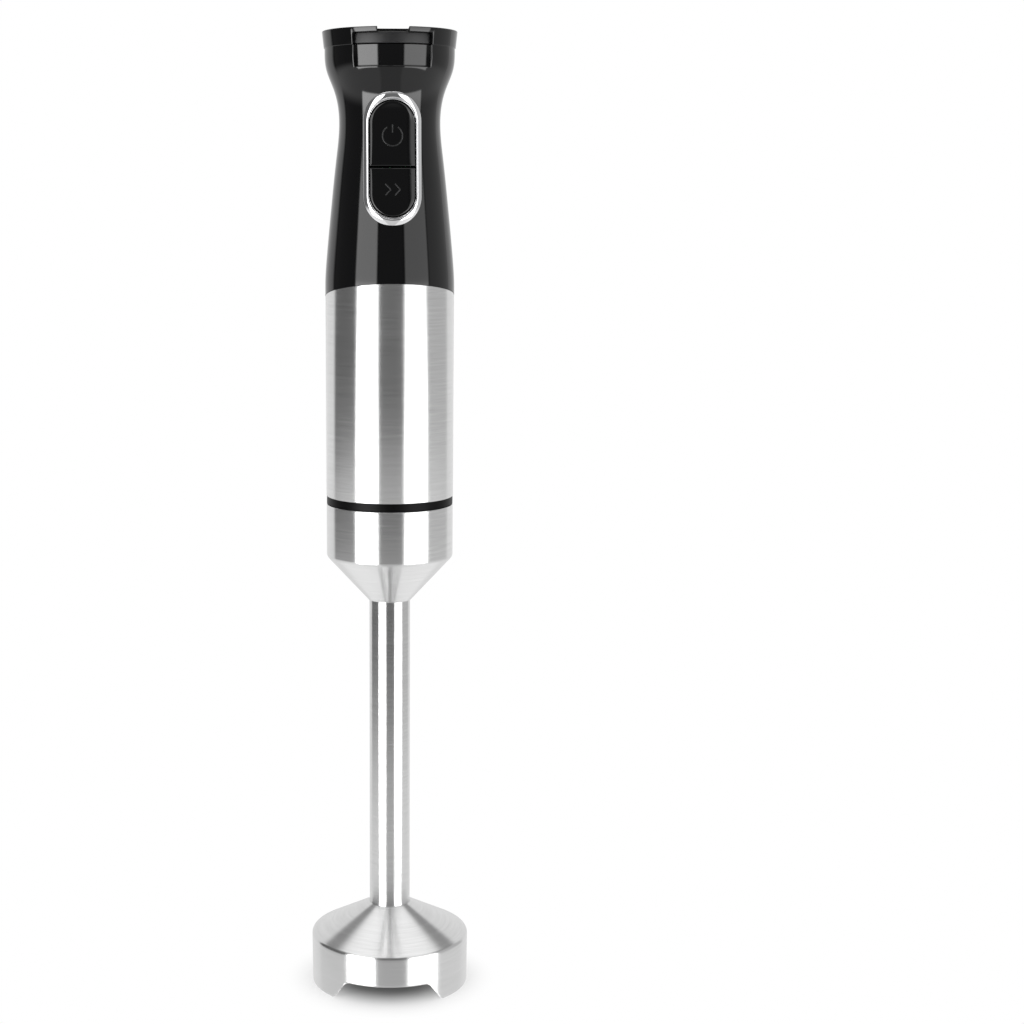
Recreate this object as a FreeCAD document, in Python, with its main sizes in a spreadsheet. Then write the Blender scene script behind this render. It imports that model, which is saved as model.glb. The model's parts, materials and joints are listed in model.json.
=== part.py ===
import FreeCAD, Part
import math
import os
import Sketcher

# Immersion blender, standing on the foot of its bell guard. Millimetres, +Z up, front at -Y.
# The origin is the middle of the foot plane, on the axis that every turning piece shares.

V = FreeCAD.Vector
ALONG_X = FreeCAD.Rotation(V(0, 1, 0), 90)
ALONG_Y = FreeCAD.Rotation(V(1, 0, 0), -90)
TOWARDS_FRONT = FreeCAD.Rotation(V(1, 0, 0), 90)
UPRIGHT = FreeCAD.Rotation()

DIMENSIONS = [
    # bell guard and leg
    ("bell_foot_radius", 33.6), ("bell_shoulder_radius", 33.8), ("bell_wall_height", 21.6),
    ("bell_cone_height", 13.2), ("bell_wall", 1.2), ("bell_rounding", 1.8),
    ("bell_hub_wall", 1.9), ("bell_hub_drop", 13.7),
    ("notch_height", 8.5), ("notch_top_half", 17.5), ("notch_foot_half", 23.0),
    ("notch_corner", 2.2), ("notch_clocking", -5.0),
    ("tube_radius", 8.65), ("tube_wall", 0.8), ("tube_length", 134.2),
    ("collar_cone_height", 19.6), ("collar_height", 21.9), ("collar_wall", 0.9),
    ("collar_neck_step", 0.45), ("collar_rounding", 2.6), ("collar_inset", 0.05),
    # sleeve, coupling ring and handle
    ("sleeve_radius", 26.65), ("sleeve_wall", 0.8), ("sleeve_length", 83.8), ("seam_angle", 12.07),
    ("ring_height", 3.2), ("ring_inset", 0.15), ("handle_length", 99.7), ("handle_wall", 2.2),
    ("foot_step", 0.1), ("hip_inset", 0.5), ("hip_rise", 14.6),
    ("swell_inset", 2.45), ("swell_drop", 64.7), ("flank_inset", 4.65), ("flank_drop", 44.4),
    ("waist_inset", 5.93), ("waist_drop", 30.2), ("neck_inset", 3.75), ("neck_drop", 16.3),
    ("shoulder_inset", 0.75), ("shoulder_drop", 8.3), ("head_inset", 0.1), ("head_bore_inset", 4.65),
    ("spigot_depth", 4.0), ("vent_width", 2.0), ("vent_height", 11.0), ("vent_pitch", 11.0),
    ("recess_inset", 2.35), ("recess_height", 8.4), ("recess_half_angle", 36.0),
    # cap and speed dial
    ("cap_height", 6.8), ("cap_foot_step", 0.35), ("cap_flare", 0.75), ("cap_wall", 1.45),
    ("cap_roof", 1.5), ("cap_rounding", 0.9), ("cap_band", 2.1), ("cap_notch_width", 12.6),
    ("cap_notch_depth", 8.0), ("cap_bevel", 0.5), ("dial_gap", 0.35), ("dial_hub_radius", 6.0),
    ("dial_hub_height", 4.4), ("spindle_radius", 3.0), ("pot_radius", 8.0), ("pot_height", 8.0),
    ("pot_bush_radius", 4.5), ("pot_bush_height", 1.5),
    # bezel and buttons
    ("bezel_top_drop", 17.6), ("bezel_length", 53.8), ("bezel_width", 23.8), ("bezel_side", 2.45),
    ("bezel_end", 3.65), ("bezel_proud", 1.0), ("bezel_depth", 3.2), ("front_crown", 18.0),
    ("button_split_drop", 47.7), ("button_gap", 0.5), ("button_clearance", 0.3),
    ("button_proud", 0.5), ("button_depth", 5.0), ("button_travel", 1.5), ("plunger_radius", 1.5),
    # circuit board and what it carries
    ("board_width", 26.0), ("board_length", 60.0), ("board_thickness", 1.6), ("board_front", 6.0),
    ("board_drop", 14.2), ("switch_width", 12.0), ("switch_height", 11.0), ("switch_depth", 6.0),
    ("switch_hole_depth", 4.5), ("power_switch_drop", 34.2), ("turbo_switch_drop", 58.2),
    ("capacitor_width", 15.0), ("capacitor_height", 16.0), ("capacitor_depth", 8.0),
    ("capacitor_drop", 50.0), ("board_screw_radius", 1.2), ("board_screw_head", 2.2),
    ("board_screw_x", 10.5), ("board_screw_inset", 3.0), ("board_boss_radius", 2.4),
    ("shell_screw_radius", 1.4), ("shell_screw_head", 2.7), ("shell_boss_radius", 3.3),
    ("upper_screw_x", 14.5), ("upper_screw_drop", 11.0), ("lower_screw_rise", 16.0),
    ("screw_seat", 13.0), ("screw_head_height", 1.8), ("gland_drop", 9.0), ("gland_radius", 5.4),
    ("gland_bore", 3.6), ("gland_length", 8.5), ("gland_proud", 2.0), ("gland_flange", 1.3),
    # motor, counted from the top of the coupling ring
    ("ring_spigot_height", 7.3), ("ring_spigot_wall", 3.3), ("carrier_wall", 1.4),
    ("carrier_length", 65.5), ("bracket_thickness", 3.0), ("bracket_boss_radius", 9.5),
    ("bracket_boss_height", 3.6), ("bracket_vent_radius", 2.6), ("bearing_radius", 7.0),
    ("bearing_width", 5.0), ("motor_shaft_radius", 2.5),
    ("damper_thickness", 2.1), ("damper_height", 3.0), ("stack_rise", 26.3), ("stack_length", 24.0),
    ("armature_radius", 11.8), ("air_gap", 0.5), ("yoke_thickness", 4.2), ("pole_half_angle", 52.0),
    ("coil_wall", 4.3), ("coil_seat", 1.7), ("coil_end", 4.0), ("coil_half_angle", 70.0),
    ("slot_width", 2.0), ("slot_depth", 4.5), ("end_turn_radius", 10.4), ("end_turn_height", 4.4),
    ("commutator_radius", 7.0), ("commutator_length", 9.5), ("commutator_rise", 56.3),
    ("fan_height", 6.0), ("fan_rise", 12.8), ("fan_hub_radius", 5.5), ("fan_blade", 1.0),
    ("brush_rise", 60.8), ("brush_width", 6.0), ("brush_height", 5.0), ("brush_length", 7.9),
    ("brush_gap", 0.1), ("holder_wall", 1.4), ("holder_start", 8.6), ("holder_end_inset", 3.3),
    ("spring_radius", 1.7), ("spring_wire", 0.38), ("bolt_radius", 1.5), ("bolt_head_radius", 2.6),
    ("bolt_head_height", 2.0), ("bolt_inset", 2.1),
    # twist lock and drive
    ("lock_radius", 22.0), ("lock_wall", 3.5), ("lock_drop", 14.5), ("lock_floor", 2.5),
    ("lug_depth", 1.6), ("lug_half_angle", 5.0), ("lug_height", 2.5), ("lug_drop", 8.5),
    ("twist_angle", 30.0), ("loose_gap", 0.3), ("socket_floor", 3.0),
    ("drive_shaft_radius", 3.0), ("bush_height", 11.0), ("seal_height", 3.3), ("running_fit", 0.05),
    ("seat_gap", 0.03), ("fork_radius", 7.5), ("fork_inner_radius", 4.3), ("fork_half_angle", 25.0),
    ("fork_prong", 6.5), ("fork_hub_height", 6.5), ("fork_drop", 14.0), ("tang_thickness", 2.4),
    ("tang_height", 5.6), ("tang_collar_radius", 4.0), ("tang_collar_height", 6.5),
    # blade
    ("blade_rise", 10.2), ("blade_thickness", 1.5), ("blade_span", 44.0), ("blade_width", 9.0),
    ("blade_tilt", 9.0), ("blade_hub_radius", 4.6), ("blade_hub_height", 2.0),
]

doc = FreeCAD.newDocument("immersion_blender")
sheet = doc.addObject("Spreadsheet::Sheet", "dims")


class Size:
    """A length or angle held as a number and as the sheet expression that gives it."""

    def __init__(self, value, text):
        self.value = value
        self.text = text

    @staticmethod
    def of(given):
        return given if isinstance(given, Size) else Size(float(given), f"({float(given)})")

    def joined(self, other, sign, value):
        return Size(value, f"({self.text} {sign} {Size.of(other).text})")

    def __add__(self, other):
        return self.joined(other, "+", self.value + Size.of(other).value)

    def __sub__(self, other):
        return self.joined(other, "-", self.value - Size.of(other).value)

    def __mul__(self, other):
        return self.joined(other, "*", self.value * Size.of(other).value)

    def __truediv__(self, other):
        return self.joined(other, "/", self.value / Size.of(other).value)

    def __radd__(self, other):
        return Size.of(other) + self

    def __rsub__(self, other):
        return Size.of(other) - self

    def __rmul__(self, other):
        return Size.of(other) * self

    def __neg__(self):
        return Size.of(0) - self

    def __float__(self):
        return self.value


class Sizes:
    """Every driving dimension by name, such as d.sleeve_radius."""


d = Sizes()
for row, (alias, number) in enumerate(DIMENSIONS, start=1):
    sheet.set(f"A{row}", alias.replace("_", " "))
    sheet.set(f"B{row}", str(number))
    sheet.setAlias(f"B{row}", alias)
    setattr(d, alias, Size(number, f"dims.{alias}"))
doc.recompute()

# Levels above the foot plane
bell_top = d.bell_wall_height + d.bell_cone_height
cone_foot = bell_top + d.tube_length
collar_foot = cone_foot + d.collar_cone_height
ring_foot = collar_foot + d.collar_height
ring_top = ring_foot + d.ring_height
seam = ring_top + d.sleeve_length
head = seam + d.handle_length
top = head + d.cap_height
carrier_foot = ring_top + d.ring_spigot_height
carrier_top = carrier_foot + d.carrier_length

# Radii that several pieces share
collar_radius = d.sleeve_radius - d.collar_inset
collar_bore = collar_radius - d.collar_wall
ring_radius = d.sleeve_radius - d.ring_inset
sleeve_bore = d.sleeve_radius - d.sleeve_wall
carrier_radius = sleeve_bore - 0.3
carrier_bore = carrier_radius - d.carrier_wall
stator_radius = carrier_bore - d.damper_thickness
yoke_bore = stator_radius - d.yoke_thickness
pole_radius = d.armature_radius + d.air_gap
head_radius = d.sleeve_radius - d.head_inset
head_bore = d.sleeve_radius - d.head_bore_inset
waist_radius = d.sleeve_radius - d.waist_inset
tube_bore = d.tube_radius - d.tube_wall
dial_radius = head_radius + d.cap_foot_step - d.cap_wall - d.dial_gap

nodes = []
used_names = {}


def fresh(kind):
    used_names[kind] = used_names.get(kind, 0) + 1
    return f"{kind}_{used_names[kind]}"


def bind(thing, **sizes):
    for name, size in sizes.items():
        thing.setExpression(name, Size.of(size).text)
    return thing


def place(thing, x=0, y=0, z=0, turn=UPRIGHT):
    spot = [Size.of(value) for value in (x, y, z)]
    thing.Placement = FreeCAD.Placement(V(*[value.value for value in spot]), turn)
    for axis, value in zip("xyz", spot):
        thing.setExpression(f"Placement.Base.{axis}", value.text)
    return thing


def about_z(angle):
    return FreeCAD.Rotation(V(0, 0, 1), angle)


def node(name, thing):
    """Keeps a finished object as the sub-part called name."""
    thing.Label = name
    nodes.append((name, thing))
    return thing


def rod(radius, length, x=0, y=0, z=0, turn=UPRIGHT):
    shape = bind(doc.addObject("Part::Cylinder", fresh("rod")), Radius=radius, Height=length)
    return place(shape, x, y, z, turn)


def cone(low_radius, high_radius, height, x=0, y=0, z=0, turn=UPRIGHT):
    shape = bind(doc.addObject("Part::Cone", fresh("cone")), Radius1=low_radius, Radius2=high_radius,
                 Height=height)
    return place(shape, x, y, z, turn)


def block(x_low, x_high, y_low, y_high, z_low, z_high):
    length, width, height = [Size.of(high) - low for low, high in
                             ((x_low, x_high), (y_low, y_high), (z_low, z_high))]
    shape = bind(doc.addObject("Part::Box", fresh("block")), Length=length, Width=width, Height=height)
    return place(shape, x_low, y_low, z_low)


def several(kind, pieces):
    shape = doc.addObject(kind, fresh("join"))
    if kind == "Part::Compound":
        shape.Links = pieces
    else:
        shape.Shapes = pieces
    return shape


def group(pieces):
    return several("Part::Compound", pieces)


def fuse(*pieces):
    return several("Part::MultiFuse", list(pieces))


def both(*pieces):
    return several("Part::MultiCommon", list(pieces))


def cut(base, *tools):
    shape = doc.addObject("Part::Cut", fresh("cut"))
    shape.Base = base
    shape.Tool = tools[0] if len(tools) == 1 else fuse(*tools)
    return shape


def pipe(outer, inner, length, z=0, x=0, y=0, turn=UPRIGHT):
    return cut(rod(outer, length, x, y, z, turn), rod(inner, length, x, y, z, turn))


def sector(inner, outer, low, high, middle_angle, half_angle):
    """An arc of a ring between two levels, from middle_angle - half_angle to middle_angle + half_angle."""
    half = Size.of(half_angle)
    piece = bind(doc.addObject("Part::Cylinder", fresh("sector")), Radius=outer,
                 Height=Size.of(high) - low, Angle=half * 2)
    place(piece, z=low, turn=about_z(middle_angle))
    piece.setExpression("Placement.Rotation.Angle", (middle_angle - half + 360).text)
    return cut(piece, rod(inner, Size.of(high) - low + 2, z=Size.of(low) - 1))


def origin_plane(body, role):
    return next(feature for feature in body.Origin.OriginFeatures if feature.Role == role)


def outline(body, role, points):
    """A closed sketch of straight runs through points, each held to the origin by its two sizes."""
    sketch = body.newObject("Sketcher::SketchObject", fresh("outline"))
    sketch.AttachmentSupport = [(origin_plane(body, role), "")]
    sketch.MapMode = "FlatFace"
    spots = [(Size.of(across), Size.of(up)) for across, up in points]
    for index, (across, up) in enumerate(spots):
        after = spots[(index + 1) % len(spots)]
        run = Part.LineSegment(V(across.value, up.value, 0), V(after[0].value, after[1].value, 0))
        sketch.addGeometry(run, False)
    for index, (across, up) in enumerate(spots):
        sketch.addConstraint(Sketcher.Constraint("Coincident", index, 2, (index + 1) % len(spots), 1))
        for kind, size in (("DistanceX", across), ("DistanceY", up)):
            held = sketch.addConstraint(Sketcher.Constraint(kind, -1, 1, index, 1, size.value))
            sketch.setExpression(f"Constraints[{held}]", size.text)
    return sketch


def turned(points):
    """A piece turned on a lathe: a body with one revolution of (radius, level) points about Z."""
    body = doc.addObject("PartDesign::Body", fresh("turned"))
    sketch = outline(body, "XZ_Plane", points)
    feature = body.newObject("PartDesign::Revolution", fresh("revolution"))
    feature.Profile = sketch
    feature.ReferenceAxis = (sketch, ["V_Axis"])
    feature.Angle = 360
    doc.recompute()
    return body


def round_circles(body, radius, circles):
    """Fillets the round edges of a body that lie at the given (radius, level) places."""
    names = []
    for index, edge in enumerate(body.Shape.Edges, start=1):
        if edge.Curve.TypeId != "Part::GeomCircle":
            continue
        for ring_size, level in circles:
            same_size = abs(edge.Curve.Radius - float(ring_size)) < 1e-4
            if same_size and abs(edge.Curve.Center.z - float(level)) < 1e-4:
                names.append(f"Edge{index}")
    feature = body.newObject("PartDesign::Fillet", fresh("fillet"))
    feature.Base = (body.Group[-2], names)
    bind(feature, Radius=radius)
    doc.recompute()
    return body


def pocket_through(body, role, points):
    sketch = outline(body, role, points)
    feature = body.newObject("PartDesign::Pocket", fresh("pocket"))
    feature.Profile = sketch
    feature.Type = "ThroughAll"
    feature.Midplane = True
    before = body.Shape.Volume
    doc.recompute()
    assert body.Shape.Volume < before, "the pocket cut nothing"
    return feature


# Leg: bell guard, tube, collar, socket, bushes and seals

def make_bell_guard():
    shoulder = d.bell_wall_height
    inner_foot = d.bell_foot_radius - d.bell_wall
    inner_shoulder = d.bell_shoulder_radius - d.bell_wall
    bore = d.tube_radius + d.seat_gap
    hub = bore + d.bell_hub_wall
    hub_foot = bell_top - d.bell_hub_drop
    neck = d.tube_radius + 0.15
    slope = d.bell_cone_height / (d.bell_shoulder_radius - neck)
    under_cone = bell_top - (hub - neck) * slope - d.bell_wall * 1.1
    body = turned([(inner_foot, 0), (d.bell_foot_radius, 0), (d.bell_shoulder_radius, shoulder),
                   (neck, bell_top), (bore, bell_top), (bore, hub_foot), (hub, hub_foot),
                   (hub, under_cone), (inner_shoulder, shoulder - d.bell_wall * 0.6)])
    round_circles(body, d.bell_rounding, [(d.bell_shoulder_radius, shoulder)])
    notch_sketch = [(-d.notch_foot_half, -1), (d.notch_foot_half, -1), (d.notch_foot_half, 0),
                    (d.notch_top_half, d.notch_height), (-d.notch_top_half, d.notch_height),
                    (-d.notch_foot_half, 0)]
    pocket = pocket_through(body, "XZ_Plane", notch_sketch)
    corners = []
    for index, edge in enumerate(pocket.Shape.Edges, start=1):
        ends = [vertex.Point for vertex in edge.Vertexes]
        level = all(abs(end.z - float(d.notch_height)) < 1e-4 for end in ends)
        side = all(abs(abs(end.x) - float(d.notch_top_half)) < 1e-4 for end in ends)
        straight = edge.Curve.TypeId == "Part::GeomLine"
        if straight and level and side:
            corners.append(f"Edge{index}")
    fillet = body.newObject("PartDesign::Fillet", fresh("fillet"))
    fillet.Base = (pocket, corners)
    bind(fillet, Radius=d.notch_corner)
    body.Placement = FreeCAD.Placement(V(0, 0, 0), about_z(1))
    body.setExpression("Placement.Rotation.Angle", (d.notch_clocking + 360).text)
    node("bell_guard", body)


def make_leg():
    tube_foot = bell_top - d.bell_hub_drop
    node("leg_tube", turned([(tube_bore, tube_foot), (d.tube_radius, tube_foot),
                             (d.tube_radius, collar_foot), (tube_bore, collar_foot)]))
    neck = d.tube_radius + d.collar_neck_step
    neck_bore = d.tube_radius + d.seat_gap
    top_edge = ring_foot - d.loose_gap
    collar = turned([(neck_bore, cone_foot), (neck, cone_foot), (collar_radius, collar_foot - 0.6),
                     (collar_radius, top_edge), (collar_bore, top_edge), (collar_bore, collar_foot),
                     (neck_bore, cone_foot + d.collar_wall * 1.4)])
    round_circles(collar, d.collar_rounding, [(collar_radius, collar_foot - 0.6)])
    node("leg_collar", collar)
    seal_radius = d.tube_radius + 2.4
    seal_foot = cone_foot + d.collar_wall * 1.4 + 2.9
    node("collar_seal", turned([(neck_bore, seal_foot), (seal_radius, seal_foot),
                                (seal_radius, seal_foot + 3), (neck_bore, seal_foot + 3)]))
    bush_bore = d.drive_shaft_radius + d.running_fit
    bush_radius = tube_bore - d.seat_gap
    upper_foot = collar_foot - d.bush_height
    node("upper_bush", turned([(bush_bore, upper_foot), (bush_radius, upper_foot),
                               (bush_radius, collar_foot), (bush_bore, collar_foot)]))
    lower_foot = tube_foot + 1
    node("lower_bush", turned([(bush_bore, lower_foot), (bush_radius, lower_foot),
                               (bush_radius, lower_foot + d.bush_height),
                               (bush_bore, lower_foot + d.bush_height)]))
    seal_outer = d.tube_radius + d.bell_hub_wall
    seal_low = tube_foot - d.seal_height
    node("shaft_seal", turned([(bush_bore, seal_low), (seal_outer - 1.2, seal_low),
                               (seal_outer, seal_low + 1.2), (seal_outer, tube_foot),
                               (bush_bore, tube_foot)]))


LUG_ANGLES = (30, 150, 270)


def make_twist_lock():
    lock_foot = ring_foot - d.lock_drop
    socket_bore = d.lock_radius + d.loose_gap
    socket_radius = collar_bore - d.seat_gap
    socket_top = ring_foot - d.loose_gap * 2
    floor_hole = d.tang_collar_radius + 1.5
    floor_top = collar_foot + d.socket_floor
    socket = turned([(floor_hole, collar_foot), (socket_radius, collar_foot), (socket_radius, socket_top),
                     (socket_bore, socket_top), (socket_bore, floor_top), (floor_hole, floor_top)])
    lug_foot = ring_foot - d.lug_drop
    lugs = [sector(d.lock_radius - d.lug_depth, socket_bore + 0.5, lug_foot, lug_foot + d.lug_height,
                   angle, d.lug_half_angle) for angle in LUG_ANGLES]
    node("leg_socket", fuse(socket, *lugs))

    spigot_radius = sleeve_bore - d.seat_gap
    spigot_bore = spigot_radius - d.ring_spigot_wall
    lock_bore = d.lock_radius - d.lock_wall
    shaft_hole = d.fork_radius + 1.5
    ring = turned([(shaft_hole, ring_top - d.lock_floor), (lock_bore, ring_top - d.lock_floor),
                   (lock_bore, lock_foot), (d.lock_radius, lock_foot), (d.lock_radius, ring_foot),
                   (ring_radius, ring_foot), (ring_radius, ring_top), (spigot_radius, ring_top),
                   (spigot_radius, carrier_foot), (spigot_bore, carrier_foot),
                   (spigot_bore, ring_top), (shaft_hole, ring_top)])
    slack = 1.2  # degrees of play beside each lug
    track_bottom = d.lock_radius - d.lug_depth - d.loose_gap
    tracks = []
    for angle in LUG_ANGLES:
        half_track = d.twist_angle / 2 + d.lug_half_angle + slack
        tracks.append(sector(track_bottom, d.lock_radius + 1, lug_foot - d.loose_gap,
                             lug_foot + d.lug_height + d.loose_gap, angle + d.twist_angle / 2, half_track))
        tracks.append(sector(track_bottom, d.lock_radius + 1, lock_foot - 1,
                             lug_foot + d.lug_height + d.loose_gap, angle + d.twist_angle,
                             d.lug_half_angle + slack))
    node("coupling_ring", cut(ring, *tracks))


def make_drive():
    fork_foot = ring_foot - d.fork_drop
    hub_foot = fork_foot + d.fork_prong
    hub = pipe(d.fork_radius, d.motor_shaft_radius, d.fork_hub_height, z=hub_foot)
    prongs = [sector(d.fork_inner_radius, d.fork_radius, fork_foot, hub_foot + 0.5, angle, d.fork_half_angle)
              for angle in (0, 180)]
    node("drive_coupling", fuse(hub, *prongs))

    tang_foot = fork_foot - d.loose_gap
    collar_low = tang_foot - d.tang_collar_height
    collar = rod(d.tang_collar_radius, d.tang_collar_height, z=collar_low)
    tang_reach = d.fork_radius - 0.7
    tang = block(-d.tang_thickness / 2, d.tang_thickness / 2, -tang_reach, tang_reach,
                 tang_foot - 0.01, tang_foot + d.tang_height)
    post = rod(d.drive_shaft_radius + 0.8, d.tang_height, z=tang_foot - 0.01)
    shaft_top = tang_foot + d.tang_height - 1
    shaft_foot = d.blade_rise - d.blade_hub_height
    bore = rod(d.drive_shaft_radius, shaft_top - collar_low + 1, z=collar_low - 1)
    node("shaft_coupling", cut(fuse(collar, tang, post), bore))
    node("drive_shaft", rod(d.drive_shaft_radius, shaft_top - shaft_foot, z=shaft_foot))


def make_blade():
    middle = rod(d.blade_width * 0.62, d.blade_thickness, z=d.blade_rise)
    wings = []
    for side in (0, 180):
        wing = bind(doc.addObject("Part::Wedge", fresh("wing")), Xmin=0, Ymin=-d.blade_width / 2, Zmin=0,
                    Xmax=d.blade_span / 2, Ymax=d.blade_width / 2, Zmax=d.blade_thickness,
                    X2min=0, Z2min=0, X2max=d.blade_span / 2 - 6, Z2max=d.blade_thickness)
        lift = d.blade_tilt.value * (-1 if side == 0 else 1)
        turn = about_z(side).multiply(FreeCAD.Rotation(V(0, 1, 0), lift))
        place(wing, z=d.blade_rise, turn=turn)
        wings.append(wing)
    hole = rod(d.drive_shaft_radius, 20, z=d.blade_rise - 10)
    bore = rod(d.drive_shaft_radius, d.blade_hub_height, z=d.blade_rise - d.blade_hub_height)
    body = cone(d.blade_hub_radius - 1.2, d.blade_hub_radius, d.blade_hub_height,
                z=d.blade_rise - d.blade_hub_height)
    node("blade", cut(fuse(middle, *wings), hole, body))
    node("blade_hub", cut(body, bore))


# Handle: a smooth turned form, split into a front and a rear shell

def wall_points(inset):
    """Radius and level of the handle's wall, moved inwards by inset."""
    outer = d.sleeve_radius - inset
    return [(outer + d.foot_step, seam + 3.5), (outer - d.hip_inset, seam + d.hip_rise),
            (outer - d.swell_inset, head - d.swell_drop), (outer - d.flank_inset, head - d.flank_drop),
            (outer - d.waist_inset, head - d.waist_drop), (outer - d.neck_inset, head - d.neck_drop),
            (outer - d.shoulder_inset, head - d.shoulder_drop), (outer - d.head_inset, head)]


def smooth_form(inset=0, axis_back=0):
    """The handle's form turned about a vertical axis that lies axis_back behind the middle."""
    points = [V(float(radius) + float(axis_back), 0, float(level)) for radius, level in wall_points(inset)]
    foot = V(points[0].x, 0, float(carrier_foot))
    curve = Part.BSplineCurve()
    curve.interpolate(Points=points, InitialTangent=V(0, 0, 1), FinalTangent=V(0, 0, 1))
    runs = [Part.makeLine(V(0, 0, foot.z), foot), Part.makeLine(foot, points[0]), curve.toShape(),
            Part.makeLine(points[-1], V(0, 0, points[-1].z)),
            Part.makeLine(V(0, 0, points[-1].z), V(0, 0, foot.z))]
    face = Part.Face(Part.Wire(runs))
    form = doc.addObject("Part::Feature", fresh("form"))
    form.Shape = face.revolve(V(0, 0, 0), V(0, 0, 1), 360)
    form.Placement = FreeCAD.Placement(V(0, float(axis_back), 0), UPRIGHT)
    return form


def slanted(level, downwards):
    """All space above, or below, the slanted seam plane moved up to level on the axis."""
    space = rod(90, 300, z=level)
    angle = d.seam_angle.value * -1
    space.Placement = FreeCAD.Placement(space.Placement.Base,
                                        FreeCAD.Rotation(V(1, 0, 0), angle + (180 if downwards else 0)))
    expression = (180 - d.seam_angle) if downwards else (360 - d.seam_angle)
    space.setExpression("Placement.Rotation.Angle", expression.text)
    return space


def stadium(width, length, middle, front_y, back_y):
    """An upright slot shape through the front wall, from front_y back to back_y."""
    radius = width / 2
    straight = length / 2 - radius
    depth = Size.of(back_y) - front_y
    ends = [rod(radius, depth, y=front_y, z=middle + straight * side, turn=ALONG_Y) for side in (1, -1)]
    return fuse(block(-radius, radius, front_y, back_y, middle - straight, middle + straight), *ends)


FRONT = -40
bezel_middle = head - d.bezel_top_drop - d.bezel_length / 2
opening_width = d.bezel_width - d.bezel_side * 2
opening_length = d.bezel_length - d.bezel_end * 2
split_level = head - d.button_split_drop


def shell_screw_places():
    upper = head - d.upper_screw_drop
    return [(Size.of(0), seam + d.lower_screw_rise), (d.upper_screw_x, upper), (-d.upper_screw_x, upper)]


def board_screw_places():
    board_top = head - d.board_drop
    board_foot = board_top - d.board_length
    levels = (board_foot + d.board_screw_inset, board_top - d.board_screw_inset)
    return [(d.board_screw_x * side, level) for side in (-1, 1) for level in levels]


def make_handle():
    outer = smooth_form()
    above = slanted(seam, False)
    skin = both(outer, above)
    spigot_space = both(rod(sleeve_bore - d.seat_gap, 40, z=seam - 30), slanted(seam, True),
                        slanted(seam - d.spigot_depth, False))
    hollow = both(smooth_form(d.handle_wall), rod(head_bore, 300, z=seam - 50))
    solid_form = fuse(skin, spigot_space)
    shell = cut(solid_form, hollow)
    half = 60
    front_half = block(-half, half, -half, 0, seam - half, top + half)
    rear_half = block(-half, half, 0, half, seam - half, top + half)

    bosses = []
    holes = []
    for x, level in shell_screw_places():
        bosses.append(rod(d.shell_boss_radius, half, x=x, z=level, turn=TOWARDS_FRONT))
        holes.append(rod(d.shell_screw_radius, 7, x=x, z=level, turn=TOWARDS_FRONT))
    for x, level in board_screw_places():
        bosses.append(rod(d.board_boss_radius, half, x=x, y=-d.board_front, z=level, turn=TOWARDS_FRONT))
        holes.append(rod(d.board_screw_radius, 8, x=x, y=-d.board_front, z=level, turn=TOWARDS_FRONT))
    front_bosses = both(fuse(*bosses), smooth_form(d.handle_wall / 2))
    recess = sector(d.sleeve_radius - d.recess_inset, 40, head - d.recess_height, head + 5, 270,
                    d.recess_half_angle)
    bezel_hole = stadium(d.bezel_width + d.seat_gap * 2, d.bezel_length + d.seat_gap * 2, bezel_middle,
                         FRONT, -12)
    front = cut(fuse(both(shell, front_half), front_bosses), bezel_hole, recess, *holes)
    node("handle_front_shell", front)

    rear_bosses = []
    bores = []
    for x, level in shell_screw_places():
        rear_bosses.append(rod(d.shell_boss_radius + 1, half, x=x, z=level, turn=ALONG_Y))
        bores.append(rod(d.shell_screw_radius, half, x=x, z=level, turn=ALONG_Y))
        bores.append(rod(d.shell_screw_head + 0.2, half, x=x, y=d.screw_seat, z=level, turn=ALONG_Y))
    for side in (-1, 1):
        for count in range(4):
            angle = 90 + side * (float(d.vent_pitch) * count + 24)
            vent = bind(doc.addObject("Part::Box", fresh("vent")), Length=20, Width=d.vent_width,
                        Height=d.vent_height)
            reach = d.sleeve_radius - d.handle_wall * 3
            place(vent, x=reach * math.cos(math.radians(angle)), y=reach * math.sin(math.radians(angle)),
                  z=seam + 8, turn=about_z(angle))
            bores.append(vent)
    bores.append(rod(d.gland_radius, half, z=head - d.gland_drop, turn=ALONG_Y))
    rear_inner = both(fuse(*rear_bosses), smooth_form(d.handle_wall / 2))
    node("handle_rear_shell", cut(fuse(both(shell, rear_half), rear_inner), *bores))

    screws = []
    for x, level in shell_screw_places():
        shank = rod(d.shell_screw_radius, d.screw_seat + 6.5, x=x, y=d.screw_seat, z=level,
                    turn=TOWARDS_FRONT)
        cap = rod(d.shell_screw_head, d.screw_head_height, x=x, y=d.screw_seat, z=level, turn=ALONG_Y)
        drive = block(x - 0.4, x + 0.4, d.screw_seat + 0.8, d.screw_seat + 5, level - 1.6, level + 1.6)
        screws.append(cut(fuse(shank, cap), drive))
    node("shell_screws", group(screws))

    mouth = head_radius - d.shoulder_inset + d.gland_proud
    gland_level = head - d.gland_drop
    sleeve = rod(d.gland_radius - d.seat_gap, d.gland_length, y=mouth - d.gland_length, z=gland_level,
                 turn=ALONG_Y)
    lip = rod(d.gland_radius + 1.4, d.gland_flange, y=head_bore - d.gland_flange - 1.6, z=gland_level,
              turn=ALONG_Y)
    bore = rod(d.gland_bore, 30, y=mouth - 25, z=gland_level, turn=ALONG_Y)
    node("cord_gland", cut(fuse(sleeve, lip), bore))


def make_sleeve():
    tube = turned([(sleeve_bore, ring_top), (d.sleeve_radius, ring_top), (d.sleeve_radius, seam + 10),
                   (sleeve_bore, seam + 10)])
    node("motor_sleeve", both(tube, slanted(seam, True)))


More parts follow.
